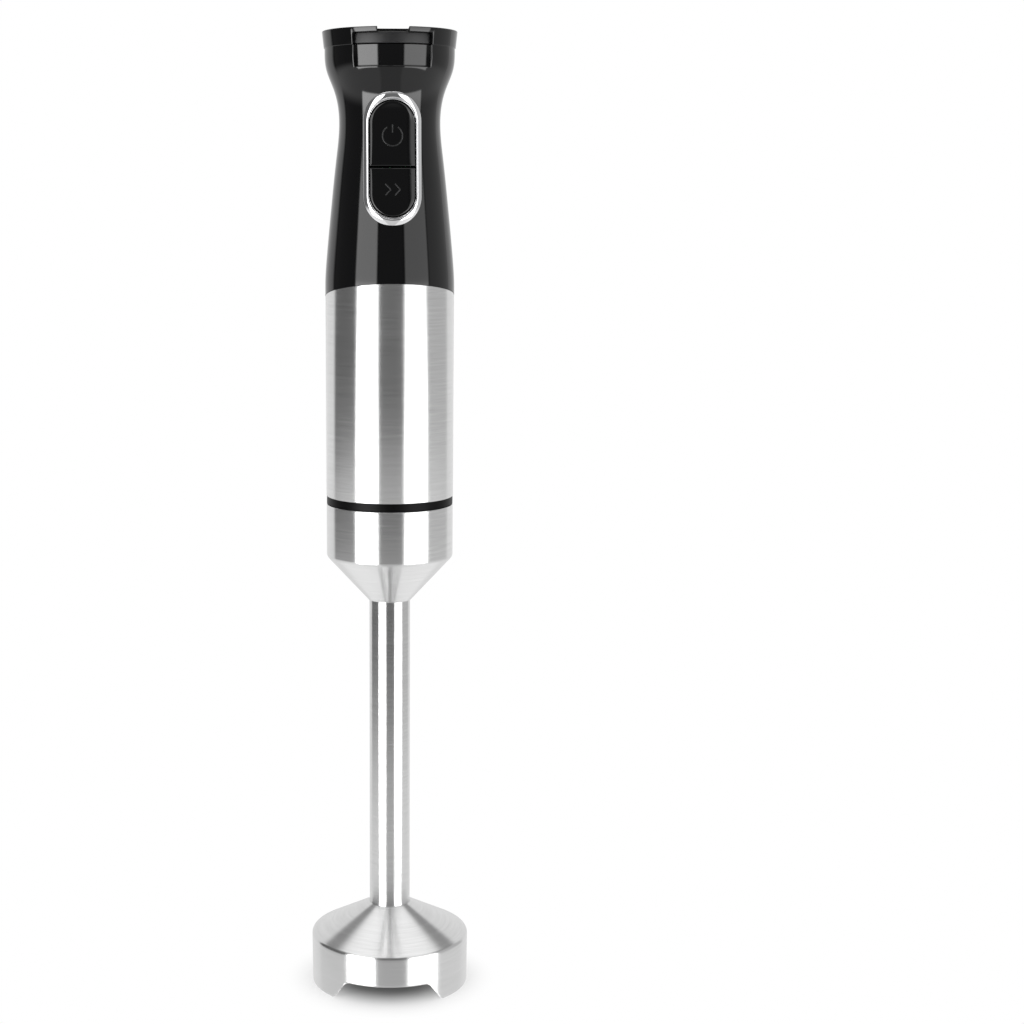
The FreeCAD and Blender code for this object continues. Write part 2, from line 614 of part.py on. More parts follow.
def make_bezel_and_buttons():
    outer = stadium(d.bezel_width, d.bezel_length, bezel_middle, FRONT, -10)
    inner = stadium(opening_width, opening_length, bezel_middle, FRONT - 1, -9)
    band = cut(smooth_form(-d.bezel_proud, d.front_crown), smooth_form(d.bezel_depth, d.front_crown))
    node("button_bezel", both(cut(outer, inner), band))

    slot = stadium(opening_width - d.button_clearance * 2, opening_length - d.button_clearance * 2,
                   bezel_middle, FRONT, -5)
    face = smooth_form(-d.button_proud, d.front_crown)
    edge = d.button_gap / 2
    hole_end = d.board_front + d.switch_depth - d.switch_hole_depth
    buttons = [("power", split_level + edge, split_level + 60, waist_radius, d.power_switch_drop),
               ("turbo", split_level - 60, split_level - edge, waist_radius + 1.3, d.turbo_switch_drop)]
    for name, low, high, face_radius, drop in buttons:
        back = -(face_radius - d.button_depth)
        room = block(-30, 30, FRONT, back, low, high)
        node(f"{name}_button", both(slot, face, room))
        level = head - drop
        tip = -(hole_end + d.button_travel + 0.4)
        node(f"{name}_plunger", rod(d.plunger_radius, tip - back, y=back, z=level, turn=ALONG_Y))
        half_width = d.switch_width / 2
        half_height = d.switch_height / 2
        case = block(-half_width, half_width, -(d.board_front + d.switch_depth), -d.board_front,
                     level - half_height, level + half_height)
        bore = rod(d.plunger_radius + d.running_fit, 30, y=-hole_end, z=level, turn=TOWARDS_FRONT)
        node(f"{name}_switch", cut(case, bore))


def make_board():
    board_top = head - d.board_drop
    half = d.board_width / 2
    board = block(-half, half, -d.board_front, d.board_thickness - d.board_front,
                  board_top - d.board_length, board_top)
    back = d.board_thickness - d.board_front
    holes = []
    screws = []
    for x, level in board_screw_places():
        holes.append(rod(d.board_screw_radius, 20, x=x, y=-10 - d.board_front, z=level, turn=ALONG_Y))
        shank = rod(d.board_screw_radius, 7.5 + d.board_thickness, x=x, y=back, z=level, turn=TOWARDS_FRONT)
        cap = rod(d.board_screw_head, 1.4, x=x, y=back, z=level, turn=ALONG_Y)
        screws.append(fuse(shank, cap))
    node("circuit_board", cut(board, *holes))
    node("board_screws", group(screws))
    level = head - d.capacitor_drop
    half_width = d.capacitor_width / 2
    half_height = d.capacitor_height / 2
    node("capacitor", block(-half_width, half_width, back, back + d.capacitor_depth,
                            level - half_height, level + half_height))


def make_cap_and_dial():
    foot_radius = head_radius + d.cap_foot_step
    rim_radius = foot_radius + d.cap_flare
    bore = foot_radius - d.cap_wall
    roof = top - d.cap_roof
    cap = turned([(0, roof), (bore, roof), (bore, head), (foot_radius, head),
                  (rim_radius, top - d.cap_bevel), (rim_radius - 4, top), (0, top)])
    round_circles(cap, d.cap_rounding / 2, [(rim_radius, top - d.cap_bevel)])
    window = sector(dial_radius - 6, 40, head - 1, top - d.cap_band, 270, d.recess_half_angle)
    half = d.cap_notch_width / 2
    notch = block(-half, half, -40, -(rim_radius - d.cap_notch_depth), head + 1, top + 5)
    node("top_cap", cut(cap, window, notch))

    dial_foot = head + 0.4
    dial_top = roof - 0.3
    hub_foot = dial_foot - d.dial_hub_height
    spindle_bore = d.spindle_radius
    dial = turned([(spindle_bore, hub_foot), (d.dial_hub_radius, hub_foot), (d.dial_hub_radius, dial_foot),
                   (dial_radius, dial_foot), (dial_radius, dial_top), (0, dial_top),
                   (0, dial_top - 1.5), (spindle_bore, dial_top - 1.5)])
    round_circles(dial, 0.4, [(dial_radius, dial_foot), (dial_radius, dial_top)])
    node("speed_dial", dial)

    board_top = head - d.board_drop
    pot_top = board_top + d.pot_height
    bush_bore = d.spindle_radius + d.running_fit
    node("speed_potentiometer", turned([(0, board_top), (d.pot_radius, board_top), (d.pot_radius, pot_top),
                                        (d.pot_bush_radius, pot_top),
                                        (d.pot_bush_radius, pot_top + d.pot_bush_height),
                                        (bush_bore, pot_top + d.pot_bush_height), (bush_bore, pot_top - 3),
                                        (0, pot_top - 3)]))
    node("dial_spindle", rod(d.spindle_radius, dial_top - 1.5 - pot_top + 2.7, z=pot_top - 2.7))


# Motor

stack_foot = ring_top + d.stack_rise
stack_top = stack_foot + d.stack_length
lower_plate = carrier_foot + 1
upper_plate = carrier_top - d.bracket_thickness - 1.5
bolt_circle = stator_radius - d.bolt_inset


def make_bracket(name, plate_foot, boss_foot, bearing_foot):
    boss_height = d.bracket_boss_height + d.bracket_thickness
    plate = rod(carrier_bore - d.seat_gap, d.bracket_thickness, z=plate_foot)
    boss = rod(d.bracket_boss_radius, boss_height, z=boss_foot)
    holes = [rod(d.bearing_radius, d.bearing_width, z=bearing_foot),
             rod(d.motor_shaft_radius + 1.5, 40, z=plate_foot - 20)]
    for count in range(6):
        angle = math.radians(60 * count)
        reach = (d.bracket_boss_radius + bolt_circle) / 2
        if float(reach) - float(d.bracket_vent_radius) > float(d.bracket_boss_radius):
            holes.append(rod(d.bracket_vent_radius, 20, x=reach * math.cos(angle), y=reach * math.sin(angle),
                             z=plate_foot - 5))
    for side in (1, -1):
        holes.append(rod(d.bolt_radius, 20, y=bolt_circle * side, z=plate_foot - 8))
    node(name, cut(fuse(plate, boss), *holes))


def make_bearing(name, foot):
    outer = d.bearing_radius
    inner = d.motor_shaft_radius
    outer_race = pipe(outer, outer - 1.4, d.bearing_width, z=foot)
    inner_race = pipe(inner + 1.4, inner, d.bearing_width, z=foot)
    cage = pipe(outer - 1.4, inner + 1.4, d.bearing_width - 1.6, z=foot + 0.8)
    node(name, fuse(outer_race, cage, cut(inner_race, rod(inner + d.running_fit, 20, z=foot - 5))))


def make_motor_frame():
    node("motor_carrier", turned([(carrier_bore, carrier_foot), (carrier_radius, carrier_foot),
                                  (carrier_radius, carrier_top), (carrier_bore, carrier_top)]))
    lower_bearing = lower_plate + d.bracket_thickness - d.bearing_width
    make_bracket("lower_bracket", lower_plate, lower_plate - d.bracket_boss_height, lower_bearing)
    make_bracket("upper_bracket", upper_plate, upper_plate, upper_plate)
    make_bearing("lower_bearing", lower_bearing)
    make_bearing("upper_bearing", upper_plate)

    ring = pipe(stator_radius, yoke_bore, d.stack_length, z=stack_foot)
    poles = [sector(pole_radius, yoke_bore + 0.5, stack_foot, stack_top, angle, d.pole_half_angle)
             for angle in (0, 180)]
    bolts_holes = [rod(d.bolt_radius, 60, y=bolt_circle * side, z=stack_foot - 10) for side in (1, -1)]
    coil_inner = pole_radius + d.coil_seat
    coil_outer = yoke_bore - 0.4
    coils = []
    for angle in (0, 180):
        outside = sector(coil_inner, coil_outer, stack_foot - d.coil_end, stack_top + d.coil_end, angle,
                         d.coil_half_angle)
        window = sector(coil_inner - 1, coil_outer + 1, stack_foot - 0.1, stack_top + 0.1, angle,
                        d.pole_half_angle + 1.5)
        coils.append(cut(outside, window))
    node("stator_core", cut(fuse(ring, *poles), *bolts_holes))
    node("field_coils", group(coils))
    dampers = []
    for level in (stack_foot + 2, stack_top - 2 - d.damper_height):
        dampers.append(pipe(carrier_bore - d.seat_gap, stator_radius, d.damper_height, z=level))
    node("damper_rings", group(dampers))

    bolts = []
    for side in (1, -1):
        foot = lower_plate - 1
        shank = rod(d.bolt_radius, upper_plate + d.bracket_thickness - foot, y=bolt_circle * side, z=foot)
        cap = rod(d.bolt_head_radius, d.bolt_head_height, y=bolt_circle * side,
                  z=upper_plate + d.bracket_thickness)
        bolts.append(fuse(shank, cap))
    node("motor_bolts", group(bolts))


def make_brushes():
    level = ring_top + d.brush_rise
    holder_end = carrier_bore - d.holder_end_inset
    half_width = d.brush_width / 2
    half_height = d.brush_height / 2
    wall = d.holder_wall
    gap = d.brush_gap
    brush_start = d.commutator_radius + gap
    holders = []
    brushes = []
    springs = []
    for side in (1, -1):
        def mirrored(x_low, x_high, *rest):
            return block(x_low, x_high, *rest) if side == 1 else block(-x_high, -x_low, *rest)
        case = mirrored(d.holder_start, holder_end, -half_width - wall, half_width + wall,
                        level - half_height - wall, level + half_height + wall)
        leg = mirrored(holder_end - 5, holder_end, -half_width, half_width, level + half_height, upper_plate)
        bore = mirrored(d.holder_start - 1, holder_end - wall, -half_width - gap, half_width + gap,
                        level - half_height - gap, level + half_height + gap)
        holders.append(cut(fuse(case, leg), bore))
        brushes.append(mirrored(brush_start, brush_start + d.brush_length, -half_width, half_width,
                                level - half_height, level + half_height))
        spring_start = brush_start + d.brush_length + d.spring_wire
        spring_length = holder_end - wall - d.spring_wire - spring_start
        helix = bind(doc.addObject("Part::Helix", fresh("helix")), Radius=d.spring_radius,
                     Height=spring_length, Pitch=spring_length / 4)
        ring = bind(doc.addObject("Part::RegularPolygon", fresh("wire")), Circumradius=d.spring_wire)
        ring.Polygon = 4
        place(ring, x=d.spring_radius, turn=FreeCAD.Rotation(V(1, 0, 0), 90))
        coil = doc.addObject("Part::Sweep", fresh("spring"))
        coil.Sections = [ring]
        coil.Spine = (helix, [])
        coil.Solid = True
        coil.Frenet = True
        place(coil, x=spring_start * side, z=level, turn=FreeCAD.Rotation(V(0, 1, 0), 90 * side))
        springs.append(coil)
    node("brush_holders", group(holders))
    node("carbon_brushes", group(brushes))
    node("brush_springs", group(springs))


def make_rotor():
    shaft_foot = ring_foot - d.fork_drop + d.fork_prong
    shaft_top = upper_plate + d.bearing_width + 1.2
    node("motor_shaft", rod(d.motor_shaft_radius, shaft_top - shaft_foot, z=shaft_foot))

    body = doc.addObject("PartDesign::Body", "armature")
    disc = outline(body, "XZ_Plane", [(d.motor_shaft_radius, stack_foot), (d.armature_radius, stack_foot),
                                      (d.armature_radius, stack_top), (d.motor_shaft_radius, stack_top)])
    feature = body.newObject("PartDesign::Revolution", "lamination_stack")
    feature.Profile = disc
    feature.ReferenceAxis = (disc, ["V_Axis"])
    feature.Angle = 360
    doc.recompute()
    half_slot = d.slot_width / 2
    slot_foot = d.armature_radius - d.slot_depth
    slot_sketch = outline(body, "XY_Plane", [(slot_foot, -half_slot), (d.armature_radius + 1, -half_slot),
                                             (d.armature_radius + 1, half_slot), (slot_foot, half_slot)])
    slot = body.newObject("PartDesign::Pocket", "winding_slot")
    slot.Profile = slot_sketch
    slot.Type = "ThroughAll"
    slot.Midplane = True
    doc.recompute()
    whole = feature.Shape.Volume
    pattern = body.newObject("PartDesign::PolarPattern", "slots")
    pattern.Originals = [slot]
    pattern.Axis = (slot_sketch, ["N_Axis"])
    pattern.Angle = 360
    pattern.Occurrences = 12
    body.Tip = pattern
    doc.recompute()
    assert body.Shape.Volume < whole - 11 * (whole - slot.Shape.Volume), "the slots are missing"
    node("armature_core", body)

    bar_radius = half_slot - 0.05
    bar_circle = slot_foot + half_slot + 0.3
    bars = []
    for count in range(12):
        angle = math.radians(30 * count)
        bars.append(rod(bar_radius, d.stack_length + 2, x=bar_circle * math.cos(angle),
                        y=bar_circle * math.sin(angle), z=stack_foot - 1))
    turns = []
    for foot in (stack_foot - d.end_turn_height, stack_top):
        turns.append(pipe(d.end_turn_radius, d.motor_shaft_radius, d.end_turn_height, z=foot))
    node("armature_windings", fuse(*turns, *bars))

    foot = ring_top + d.commutator_rise
    barrel = pipe(d.commutator_radius, d.motor_shaft_radius, d.commutator_length, z=foot)
    saws = []
    for count in range(12):
        saw = bind(doc.addObject("Part::Box", fresh("saw")), Length=3, Width=0.5,
                   Height=d.commutator_length + 2)
        angle = 30 * count
        reach = d.commutator_radius - 0.8
        place(saw, x=reach * math.cos(math.radians(angle)), y=reach * math.sin(math.radians(angle)),
              z=foot - 1, turn=about_z(angle))
        saws.append(saw)
    node("commutator", cut(barrel, *saws))

    fan_foot = ring_top + d.fan_rise
    fan_radius = bolt_circle - d.bolt_head_radius - 0.5
    hub = rod(d.fan_hub_radius, d.fan_height, z=fan_foot)
    plate = rod(fan_radius, 1.2, z=fan_foot + d.fan_height - 1.2)
    blades = []
    for count in range(10):
        fin = bind(doc.addObject("Part::Box", fresh("fin")), Length=fan_radius - 4.7, Width=d.fan_blade,
                   Height=d.fan_height)
        turn = 36 * count
        reach = 4.5
        place(fin, x=reach * math.cos(math.radians(turn)), y=reach * math.sin(math.radians(turn)),
              z=fan_foot, turn=about_z(turn))
        blades.append(fin)
    node("cooling_fan", cut(fuse(hub, plate, *blades), rod(d.motor_shaft_radius, 20, z=fan_foot - 5)))


make_bell_guard()
make_leg()
make_twist_lock()
make_drive()
make_blade()
make_handle()
make_sleeve()
make_bezel_and_buttons()
make_board()
make_cap_and_dial()
make_motor_frame()
make_brushes()
make_rotor()
doc.recompute()

for thing in doc.Objects:
    assert not {"Invalid", "Error"} & set(thing.State), f"{thing.Name} failed: {thing.State}"
for name, thing in nodes:
    assert not thing.Shape.isNull(), f"{name} is empty"
    assert thing.Shape.isValid(), f"{name} is not valid"
    assert thing.Shape.Solids, f"{name} has no solid"
os.makedirs("parts", exist_ok=True)
for name, thing in nodes:
    thing.Shape.exportStep(f"parts/{name}.step")
print(len(nodes), "sub-parts written")
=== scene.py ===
import json
import math

import bmesh
import bpy
from mathutils import Matrix, Vector


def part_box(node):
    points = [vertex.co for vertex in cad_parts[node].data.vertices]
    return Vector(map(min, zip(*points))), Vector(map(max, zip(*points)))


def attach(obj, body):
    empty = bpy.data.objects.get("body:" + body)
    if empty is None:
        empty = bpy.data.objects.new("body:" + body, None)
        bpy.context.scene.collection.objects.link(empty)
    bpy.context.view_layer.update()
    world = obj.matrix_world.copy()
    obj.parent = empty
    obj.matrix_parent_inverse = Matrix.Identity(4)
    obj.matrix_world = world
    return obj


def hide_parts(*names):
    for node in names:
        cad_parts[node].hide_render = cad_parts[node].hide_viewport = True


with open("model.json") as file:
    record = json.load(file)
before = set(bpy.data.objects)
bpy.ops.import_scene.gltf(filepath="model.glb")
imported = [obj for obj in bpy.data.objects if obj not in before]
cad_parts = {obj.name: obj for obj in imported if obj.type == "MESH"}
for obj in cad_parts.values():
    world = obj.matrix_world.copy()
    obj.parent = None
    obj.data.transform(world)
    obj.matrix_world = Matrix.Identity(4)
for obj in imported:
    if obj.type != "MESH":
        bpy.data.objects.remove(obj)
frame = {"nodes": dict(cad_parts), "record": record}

bl_info = {
    "name": "Immersion blender builder",
    "version": (1, 0, 0),
    "blender": (4, 5, 0),
    "location": "View3D > Sidebar > Hand blender",
    "description": "Builds the shells, keys, metalwork and finishes of an immersion blender around its frame",
    "category": "Object",
}

MM = 0.001
FULL_TURN = 2 * math.pi
MERGE_GAP = 1e-7
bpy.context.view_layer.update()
NODES = frame["nodes"]

# Levels and radii that the frame fixes
SLEEVE_LOW, SLEEVE_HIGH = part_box("motor_sleeve")
CAP_LOW, CAP_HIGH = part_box("top_cap")
COLLAR_LOW, COLLAR_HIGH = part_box("leg_collar")
BELL_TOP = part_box("bell_guard")[1].z
TUBE_LOW, TUBE_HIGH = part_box("leg_tube")
DIAL_LOW, DIAL_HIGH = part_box("speed_dial")
BEZEL_LOW, BEZEL_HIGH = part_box("button_bezel")
POWER_LOW, POWER_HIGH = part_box("power_button")
TURBO_LOW, TURBO_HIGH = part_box("turbo_button")
BLADE_LOW, BLADE_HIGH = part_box("blade")
GLAND_LOW, GLAND_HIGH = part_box("cord_gland")

BODY_RADIUS = SLEEVE_HIGH.x
HEAD = CAP_LOW.z
GLAND_LEVEL = (GLAND_LOW.z + GLAND_HIGH.z) / 2

# Tilt of the cut between handle and sleeve, in degrees
SEAM_SLANT = 12.07

# Facets round the large steel pieces
METAL_STEPS = 320


def length(name, default, text):
    """A distance property whose default is given in millimetres."""
    return bpy.props.FloatProperty(name=name, description=text, default=default * MM, precision=5,
                                   subtype="DISTANCE", unit="LENGTH")


def angle(name, default, text):
    """An angle property whose default is given in degrees."""
    return bpy.props.FloatProperty(name=name, description=text, default=math.radians(default),
                                   subtype="ANGLE", unit="ROTATION")


def colour(name, default, text):
    """A colour property without alpha."""
    return bpy.props.FloatVectorProperty(name=name, description=text, default=default, size=3,
                                         subtype="COLOR", min=0, max=1)


def share(name, default, text):
    """A property from 0 to 1."""
    return bpy.props.FloatProperty(name=name, description=text, default=default, min=0, max=1,
                                   subtype="FACTOR")


def plain(name, default, text, **kind):
    """A number property."""
    return bpy.props.FloatProperty(name=name, description=text, default=default, **kind)


class HandleSizes(bpy.types.PropertyGroup):
    seam_slant: angle("Seam slant", SEAM_SLANT, "Tilt of the cut between handle and sleeve")
    wall: length("Wall", 2.2, "Thickness of the moulded shells")
    edge: length("Edge rounding", 0.35, "Rounding of the moulded edges")
    recess_inset: length("Recess inset", 2.35, "Depth of the thumb recess under the body radius")
    recess_height: length("Recess height", 8.4, "Height of the thumb recess below the cap")
    recess_lean: length("Recess lean", 0.55, "How much further out the recess wall is at its top")
    recess_half: angle("Recess half angle", 36, "Half of the arc that the thumb recess takes")
    spin_steps: bpy.props.IntProperty(name="Steps", description="Facets round a full turn", default=360)


class KeySizes(bpy.types.PropertyGroup):
    crown: length("Crown offset", 18, "How far behind the axis the key surface is turned about")
    bezel_proud: length("Bezel height", 1.0, "How far the chrome bezel stands out")
    bezel_side: length("Bezel side", 2.45, "Width of the bezel along its straight sides")
    bezel_end: length("Bezel end", 3.65, "Width of the bezel at its round ends")
    key_proud: length("Key height", 0.5, "How far the keys stand out")
    key_edge: length("Key edge", 0.7, "Rounding round the keys")
    clearance: length("Clearance", 0.3, "Gap between the keys and the bezel")
    icon_line: length("Icon line", 0.28, "Half width of the raised icon lines")


class LegSizes(bpy.types.PropertyGroup):
    collar_edge: length("Collar edge", 2.6, "Rounding between the collar's wall and its cone")
    neck_step: length("Neck step", 0.45, "Step from the collar's neck to the tube")
    metal_wall: length("Metal wall", 0.9, "Thickness of the pressed steel")
    bell_wall: length("Bell wall", 1.2, "Thickness of the bell guard")
    bell_shoulder: length("Bell shoulder", 21.6, "Height of the bell's shoulder above the feet")
    bell_radius: length("Bell radius", 33.8, "Radius of the bell at its shoulder")
    bell_foot_inset: length("Bell foot inset", 0.2, "How much narrower the bell is at its feet")
    bell_edge: length("Bell edge", 1.8, "Rounding of the bell's shoulder")
    notch_height: length("Notch height", 8.5, "Height of the notches above the feet")
    notch_top: length("Notch top", 17.5, "Half of the notch's width at its top")
    notch_foot: length("Notch foot", 23.0, "Half of the notch's width at the feet")
    notch_clocking: angle("Notch clocking", -5, "Turn of the notches from the front")


class Finishes(bpy.types.PropertyGroup):
    black: colour("Black plastic", (0.0012, 0.0012, 0.0014), "Gloss black moulding")
    satin_black: colour("Satin black", (0.004, 0.004, 0.0045), "Satin black moulding")
    steel: colour("Steel", (0.76, 0.76, 0.76), "Stainless steel")
    steel_roughness: share("Steel roughness", 0.24, "Roughness of the brushed steel")
    steel_grain: share("Steel grain", 0.85, "How strongly the brushing stretches highlights")
    chrome: colour("Chrome", (0.93, 0.93, 0.94), "Polished chrome")


class Studio(bpy.types.PropertyGroup):
    distance: length("Camera distance", 803.9, "From the camera to the object's axis")
    height: length("Camera height", 334.5, "Camera height above the floor")
    pitch: angle("Camera pitch", 9.06, "Downward tilt of the camera")
    heading: angle("Camera heading", -3, "Turn of the camera round the object")
    lens: plain("Lens", 67.7, "Focal length", subtype="DISTANCE_CAMERA")
    shift: plain("Shift", 0.1194, "Sideways shift of the framing")
    key_light: plain("Left softbox", 3.2, "Brightness of the left softbox")
    fill_light: plain("Right softbox", 1.7, "Brightness of the right softbox")
    top_light: plain("Overhead light", 0.85, "Brightness from above")
    low_glow: plain("Low glow", 1.0, "Extra brightness low in the softboxes")


SETTINGS = {"hand_blender_handle": HandleSizes, "hand_blender_keys": KeySizes, "hand_blender_leg": LegSizes,
            "hand_blender_finishes": Finishes, "hand_blender_studio": Studio}


# Outlines

def rounded(points, radii, steps=5):
    """Points of an open run of straight lines whose corners are replaced by arcs."""
    out = [Vector(points[0])]
    for before, corner, after, radius in zip(points, points[1:], points[2:], radii):
        corner = Vector(corner)
        back = Vector(before) - corner
        ahead = Vector(after) - corner
        half = back.angle(ahead) / 2
        reach = min(radius / math.tan(half), back.length * 0.49, ahead.length * 0.49)
        if reach <= 0:
            out.append(corner)
            continue
        back.normalize()
        ahead.normalize()
        size = reach * math.tan(half)
        centre = corner + (back + ahead).normalized() * (size / math.sin(half))
        start = corner + back * reach - centre
        finish = corner + ahead * reach - centre
        turn = start.angle(finish)
        for step in range(steps + 1):
            t = step / steps
            arm = start * math.sin((1 - t) * turn) + finish * math.sin(t * turn)
            out.append(centre + arm / math.sin(turn))
    out.append(Vector(points[-1]))
    return out


def ring_outline(points, radii, steps=4):
    """The same for a closed outline: every corner has its radius, and the first point comes again last."""
    outline = rounded([points[-1], *points, points[0]], radii, steps)[1:-1]
    return outline + outline[:1]


def seam_level(slant):
    """The level at which the slanted cut between handle and sleeve crosses the axis."""
    return SLEEVE_HIGH.z - BODY_RADIUS * math.tan(slant)


class Wall:
    """The handle's outer wall: its radius at any level, as a smooth curve through a few stations."""

    # Distance from the seam or from the head, and radius there, in millimetres
    ABOVE_SEAM = ((3.5, 26.75), (14.6, 26.15))
    BELOW_HEAD = ((64.7, 24.2), (44.4, 22.0), (30.2, 20.72), (16.3, 22.9), (8.3, 25.9), (0, 26.55))
    FAIRING_ROUNDS = 60

    def __init__(self):
        seam = seam_level(math.radians(SEAM_SLANT))
        self.levels = [seam + rise * MM for rise, _ in self.ABOVE_SEAM]
        self.levels += [HEAD - drop * MM for drop, _ in self.BELOW_HEAD]
        self.radii = [radius * MM for _, radius in self.ABOVE_SEAM + self.BELOW_HEAD]
        self.slopes = self.fair_slopes()

    def fair_slopes(self):
        """Slopes at the stations that make curvature run on smoothly, upright at both ends."""
        count = len(self.levels)
        slopes = [0.0] * count
        for _ in range(self.FAIRING_ROUNDS):
            for i in range(1, count - 1):
                low = self.levels[i] - self.levels[i - 1]
                high = self.levels[i + 1] - self.levels[i]
                rise = 3 * ((self.radii[i] - self.radii[i - 1]) / low ** 2
                            + (self.radii[i + 1] - self.radii[i]) / high ** 2)
                slopes[i] = (rise - slopes[i - 1] / low - slopes[i + 1] / high) / (2 / low + 2 / high)
        return slopes

    def radius(self, level):
        """The wall's radius at a level."""
        if level <= self.levels[0]:
            return self.radii[0]
        if level >= self.levels[-1]:
            return self.radii[-1]
        i = max(k for k in range(len(self.levels) - 1) if self.levels[k] <= level)
        span = self.levels[i + 1] - self.levels[i]
        t = (level - self.levels[i]) / span
        square, cube = t ** 2, t ** 3
        return ((2 * cube - 3 * square + 1) * self.radii[i]
                + (cube - 2 * square + t) * span * self.slopes[i]
                + (3 * square - 2 * cube) * self.radii[i + 1]
                + (cube - square) * span * self.slopes[i + 1])


WALL = Wall()


def front_point(x, z, proud):
    """A point of the crowned front surface, proud of the wall, at x across and level z."""
    crown = bpy.context.scene.hand_blender_keys.crown
    reach = WALL.radius(z) + proud + crown
    return Vector((x, crown - math.sqrt(max(reach ** 2 - x ** 2, 1e-9)), z))


def stadium(half_width, low, high):
    """An upright stadium outline, anticlockwise from its right side: (x, z) points."""
    steps, straight = 28, 24
    points = []
    for end, start in ((high - half_width, 0), (low + half_width, math.pi)):
        for step in range(steps + 1):
            turn = start + math.pi * step / steps
            points.append((half_width * math.cos(turn), end + half_width * math.sin(turn)))
    out = []
    for point, after in zip(points, points[1:] + points[:1]):
        out.append(point)
        if abs(point[0] - after[0]) < 1e-9 and abs(point[1] - after[1]) > half_width / 8:
            for step in range(1, straight):
                out.append((point[0], point[1] + (after[1] - point[1]) * step / straight))
    return out


# Mesh work

def bevel(bm, edges, offset, segments, **more):
    """Rounds edges."""
    bmesh.ops.bevel(bm, geom=edges, offset=offset, segments=segments, profile=0.5, affect="EDGES",
                    material=-1, **more)


def lathe(points, steps, turn=FULL_TURN, start=0.0):
    """A skin spun about Z from an outline of (radius, level) points."""
    bm = bmesh.new()
    swing = Matrix.Rotation(start, 3, "Z")
    verts = [bm.verts.new(swing @ Vector((point[0], 0, point[1]))) for point in points]
    edges = [bm.edges.new(pair) for pair in zip(verts, verts[1:])]
    bmesh.ops.spin(bm, geom=verts + edges, cent=(0, 0, 0), axis=(0, 0, 1), angle=turn, steps=steps,
                   use_merge=turn == FULL_TURN)
    bmesh.ops.remove_doubles(bm, verts=bm.verts, dist=MERGE_GAP)
    return bm


def turned(points, steps):
    """A closed turned solid from an outline of (radius, level) points."""
    bm = lathe(points, steps)
    settle(bm)
    return bm


def loft(bm, loops, closed=False):
    """Skins a row of closed loops that have equally many points, and gives each loop's edges."""
    rows = [[bm.verts.new(point) for point in points] for points in loops]
    following = rows[1:] + (rows[:1] if closed else [])
    for row, after in zip(rows, following):
        for corners in zip(row, row[1:] + row[:1], after[1:] + after[:1], after):
            bm.faces.new(corners)
    return [[bm.edges.get(pair) for pair in zip(row, row[1:] + row[:1])] for row in rows]


def block_of(points, travel):
    """A closed block: a flat outline pushed along a vector."""
    bm = bmesh.new()
    face = bm.faces.new([bm.verts.new(point) for point in points])
    grown = bmesh.ops.extrude_face_region(bm, geom=[face])
    moved = [item for item in grown["geom"] if isinstance(item, bmesh.types.BMVert)]
    bmesh.ops.translate(bm, verts=moved, vec=travel)
    settle(bm)
    return bm


def rounded_box(low, high, edge=0, segments=1):
    """A box between two corners, its edges rounded if edge is given."""
    bm = bmesh.new()
    bmesh.ops.create_cube(bm, size=1)
    centre = (Vector(low) + Vector(high)) / 2
    size = Vector(high) - Vector(low)
    bmesh.ops.scale(bm, vec=size, verts=bm.verts)
    bmesh.ops.translate(bm, vec=centre, verts=bm.verts)
    if edge:
        bevel(bm, bm.edges[:], edge, segments)
    return bm


def drum(radius, low, high, axis):
    """A closed round bar along an axis matrix, from low to high."""
    bm = bmesh.new()
    bmesh.ops.create_cone(bm, cap_ends=True, segments=48, radius1=radius, radius2=radius, depth=high - low)
    bmesh.ops.translate(bm, vec=(0, 0, (low + high) / 2), verts=bm.verts)
    bmesh.ops.transform(bm, matrix=axis, verts=bm.verts)
    return bm


def settle(bm):
    """Merges doubles and turns the faces of a closed mesh outwards."""
    bmesh.ops.remove_doubles(bm, verts=bm.verts, dist=MERGE_GAP)
    bmesh.ops.recalc_face_normals(bm, faces=bm.faces)
    if bm.calc_volume(signed=True) < 0:
        bmesh.ops.reverse_faces(bm, faces=bm.faces)


def face_away(bm):
    """Turns the faces of an open skin round the axis outwards."""
    bmesh.ops.recalc_face_normals(bm, faces=bm.faces)
    bm.normal_update()
    lowest = min(bm.faces, key=lambda face: face.calc_center_median().z)
    if lowest.normal.xy.dot(lowest.calc_center_median().xy) < 0:
        bmesh.ops.reverse_faces(bm, faces=bm.faces)


def to_object(bm, name):
    """Makes an object of a mesh and frees the mesh."""
    mesh = bpy.data.meshes.new(name)
    bm.to_mesh(mesh)
    bm.free()
    piece = bpy.data.objects.new(name, mesh)
    bpy.context.scene.collection.objects.link(piece)
    return piece


def apply_modifiers(piece):
    """Replaces a piece's mesh by the one that its modifiers give."""
    bpy.context.view_layer.update()
    shape = piece.evaluated_get(bpy.context.evaluated_depsgraph_get())
    mesh = bpy.data.meshes.new_from_object(shape)
    old = piece.data
    piece.modifiers.clear()
    piece.data = mesh
    bpy.data.meshes.remove(old)


def add_mesh(bm, extra):
    """Adds one mesh to another and frees the one that was added."""
    held = bpy.data.meshes.new("held")
    extra.to_mesh(held)
    extra.free()
    bm.from_mesh(held)
    bpy.data.meshes.remove(held)


def carve(piece, cutters):
    """Takes closed cutter meshes that lie apart away from a piece."""
    joined = bmesh.new()
    for bm in cutters:
        settle(bm)
        add_mesh(joined, bm)
    tool = to_object(joined, "cutter")
    modifier = piece.modifiers.new("carve", "BOOLEAN")
    modifier.operation = "DIFFERENCE"
    modifier.solver = "EXACT"
    modifier.object = tool
    apply_modifiers(piece)
    bpy.data.meshes.remove(tool.data)


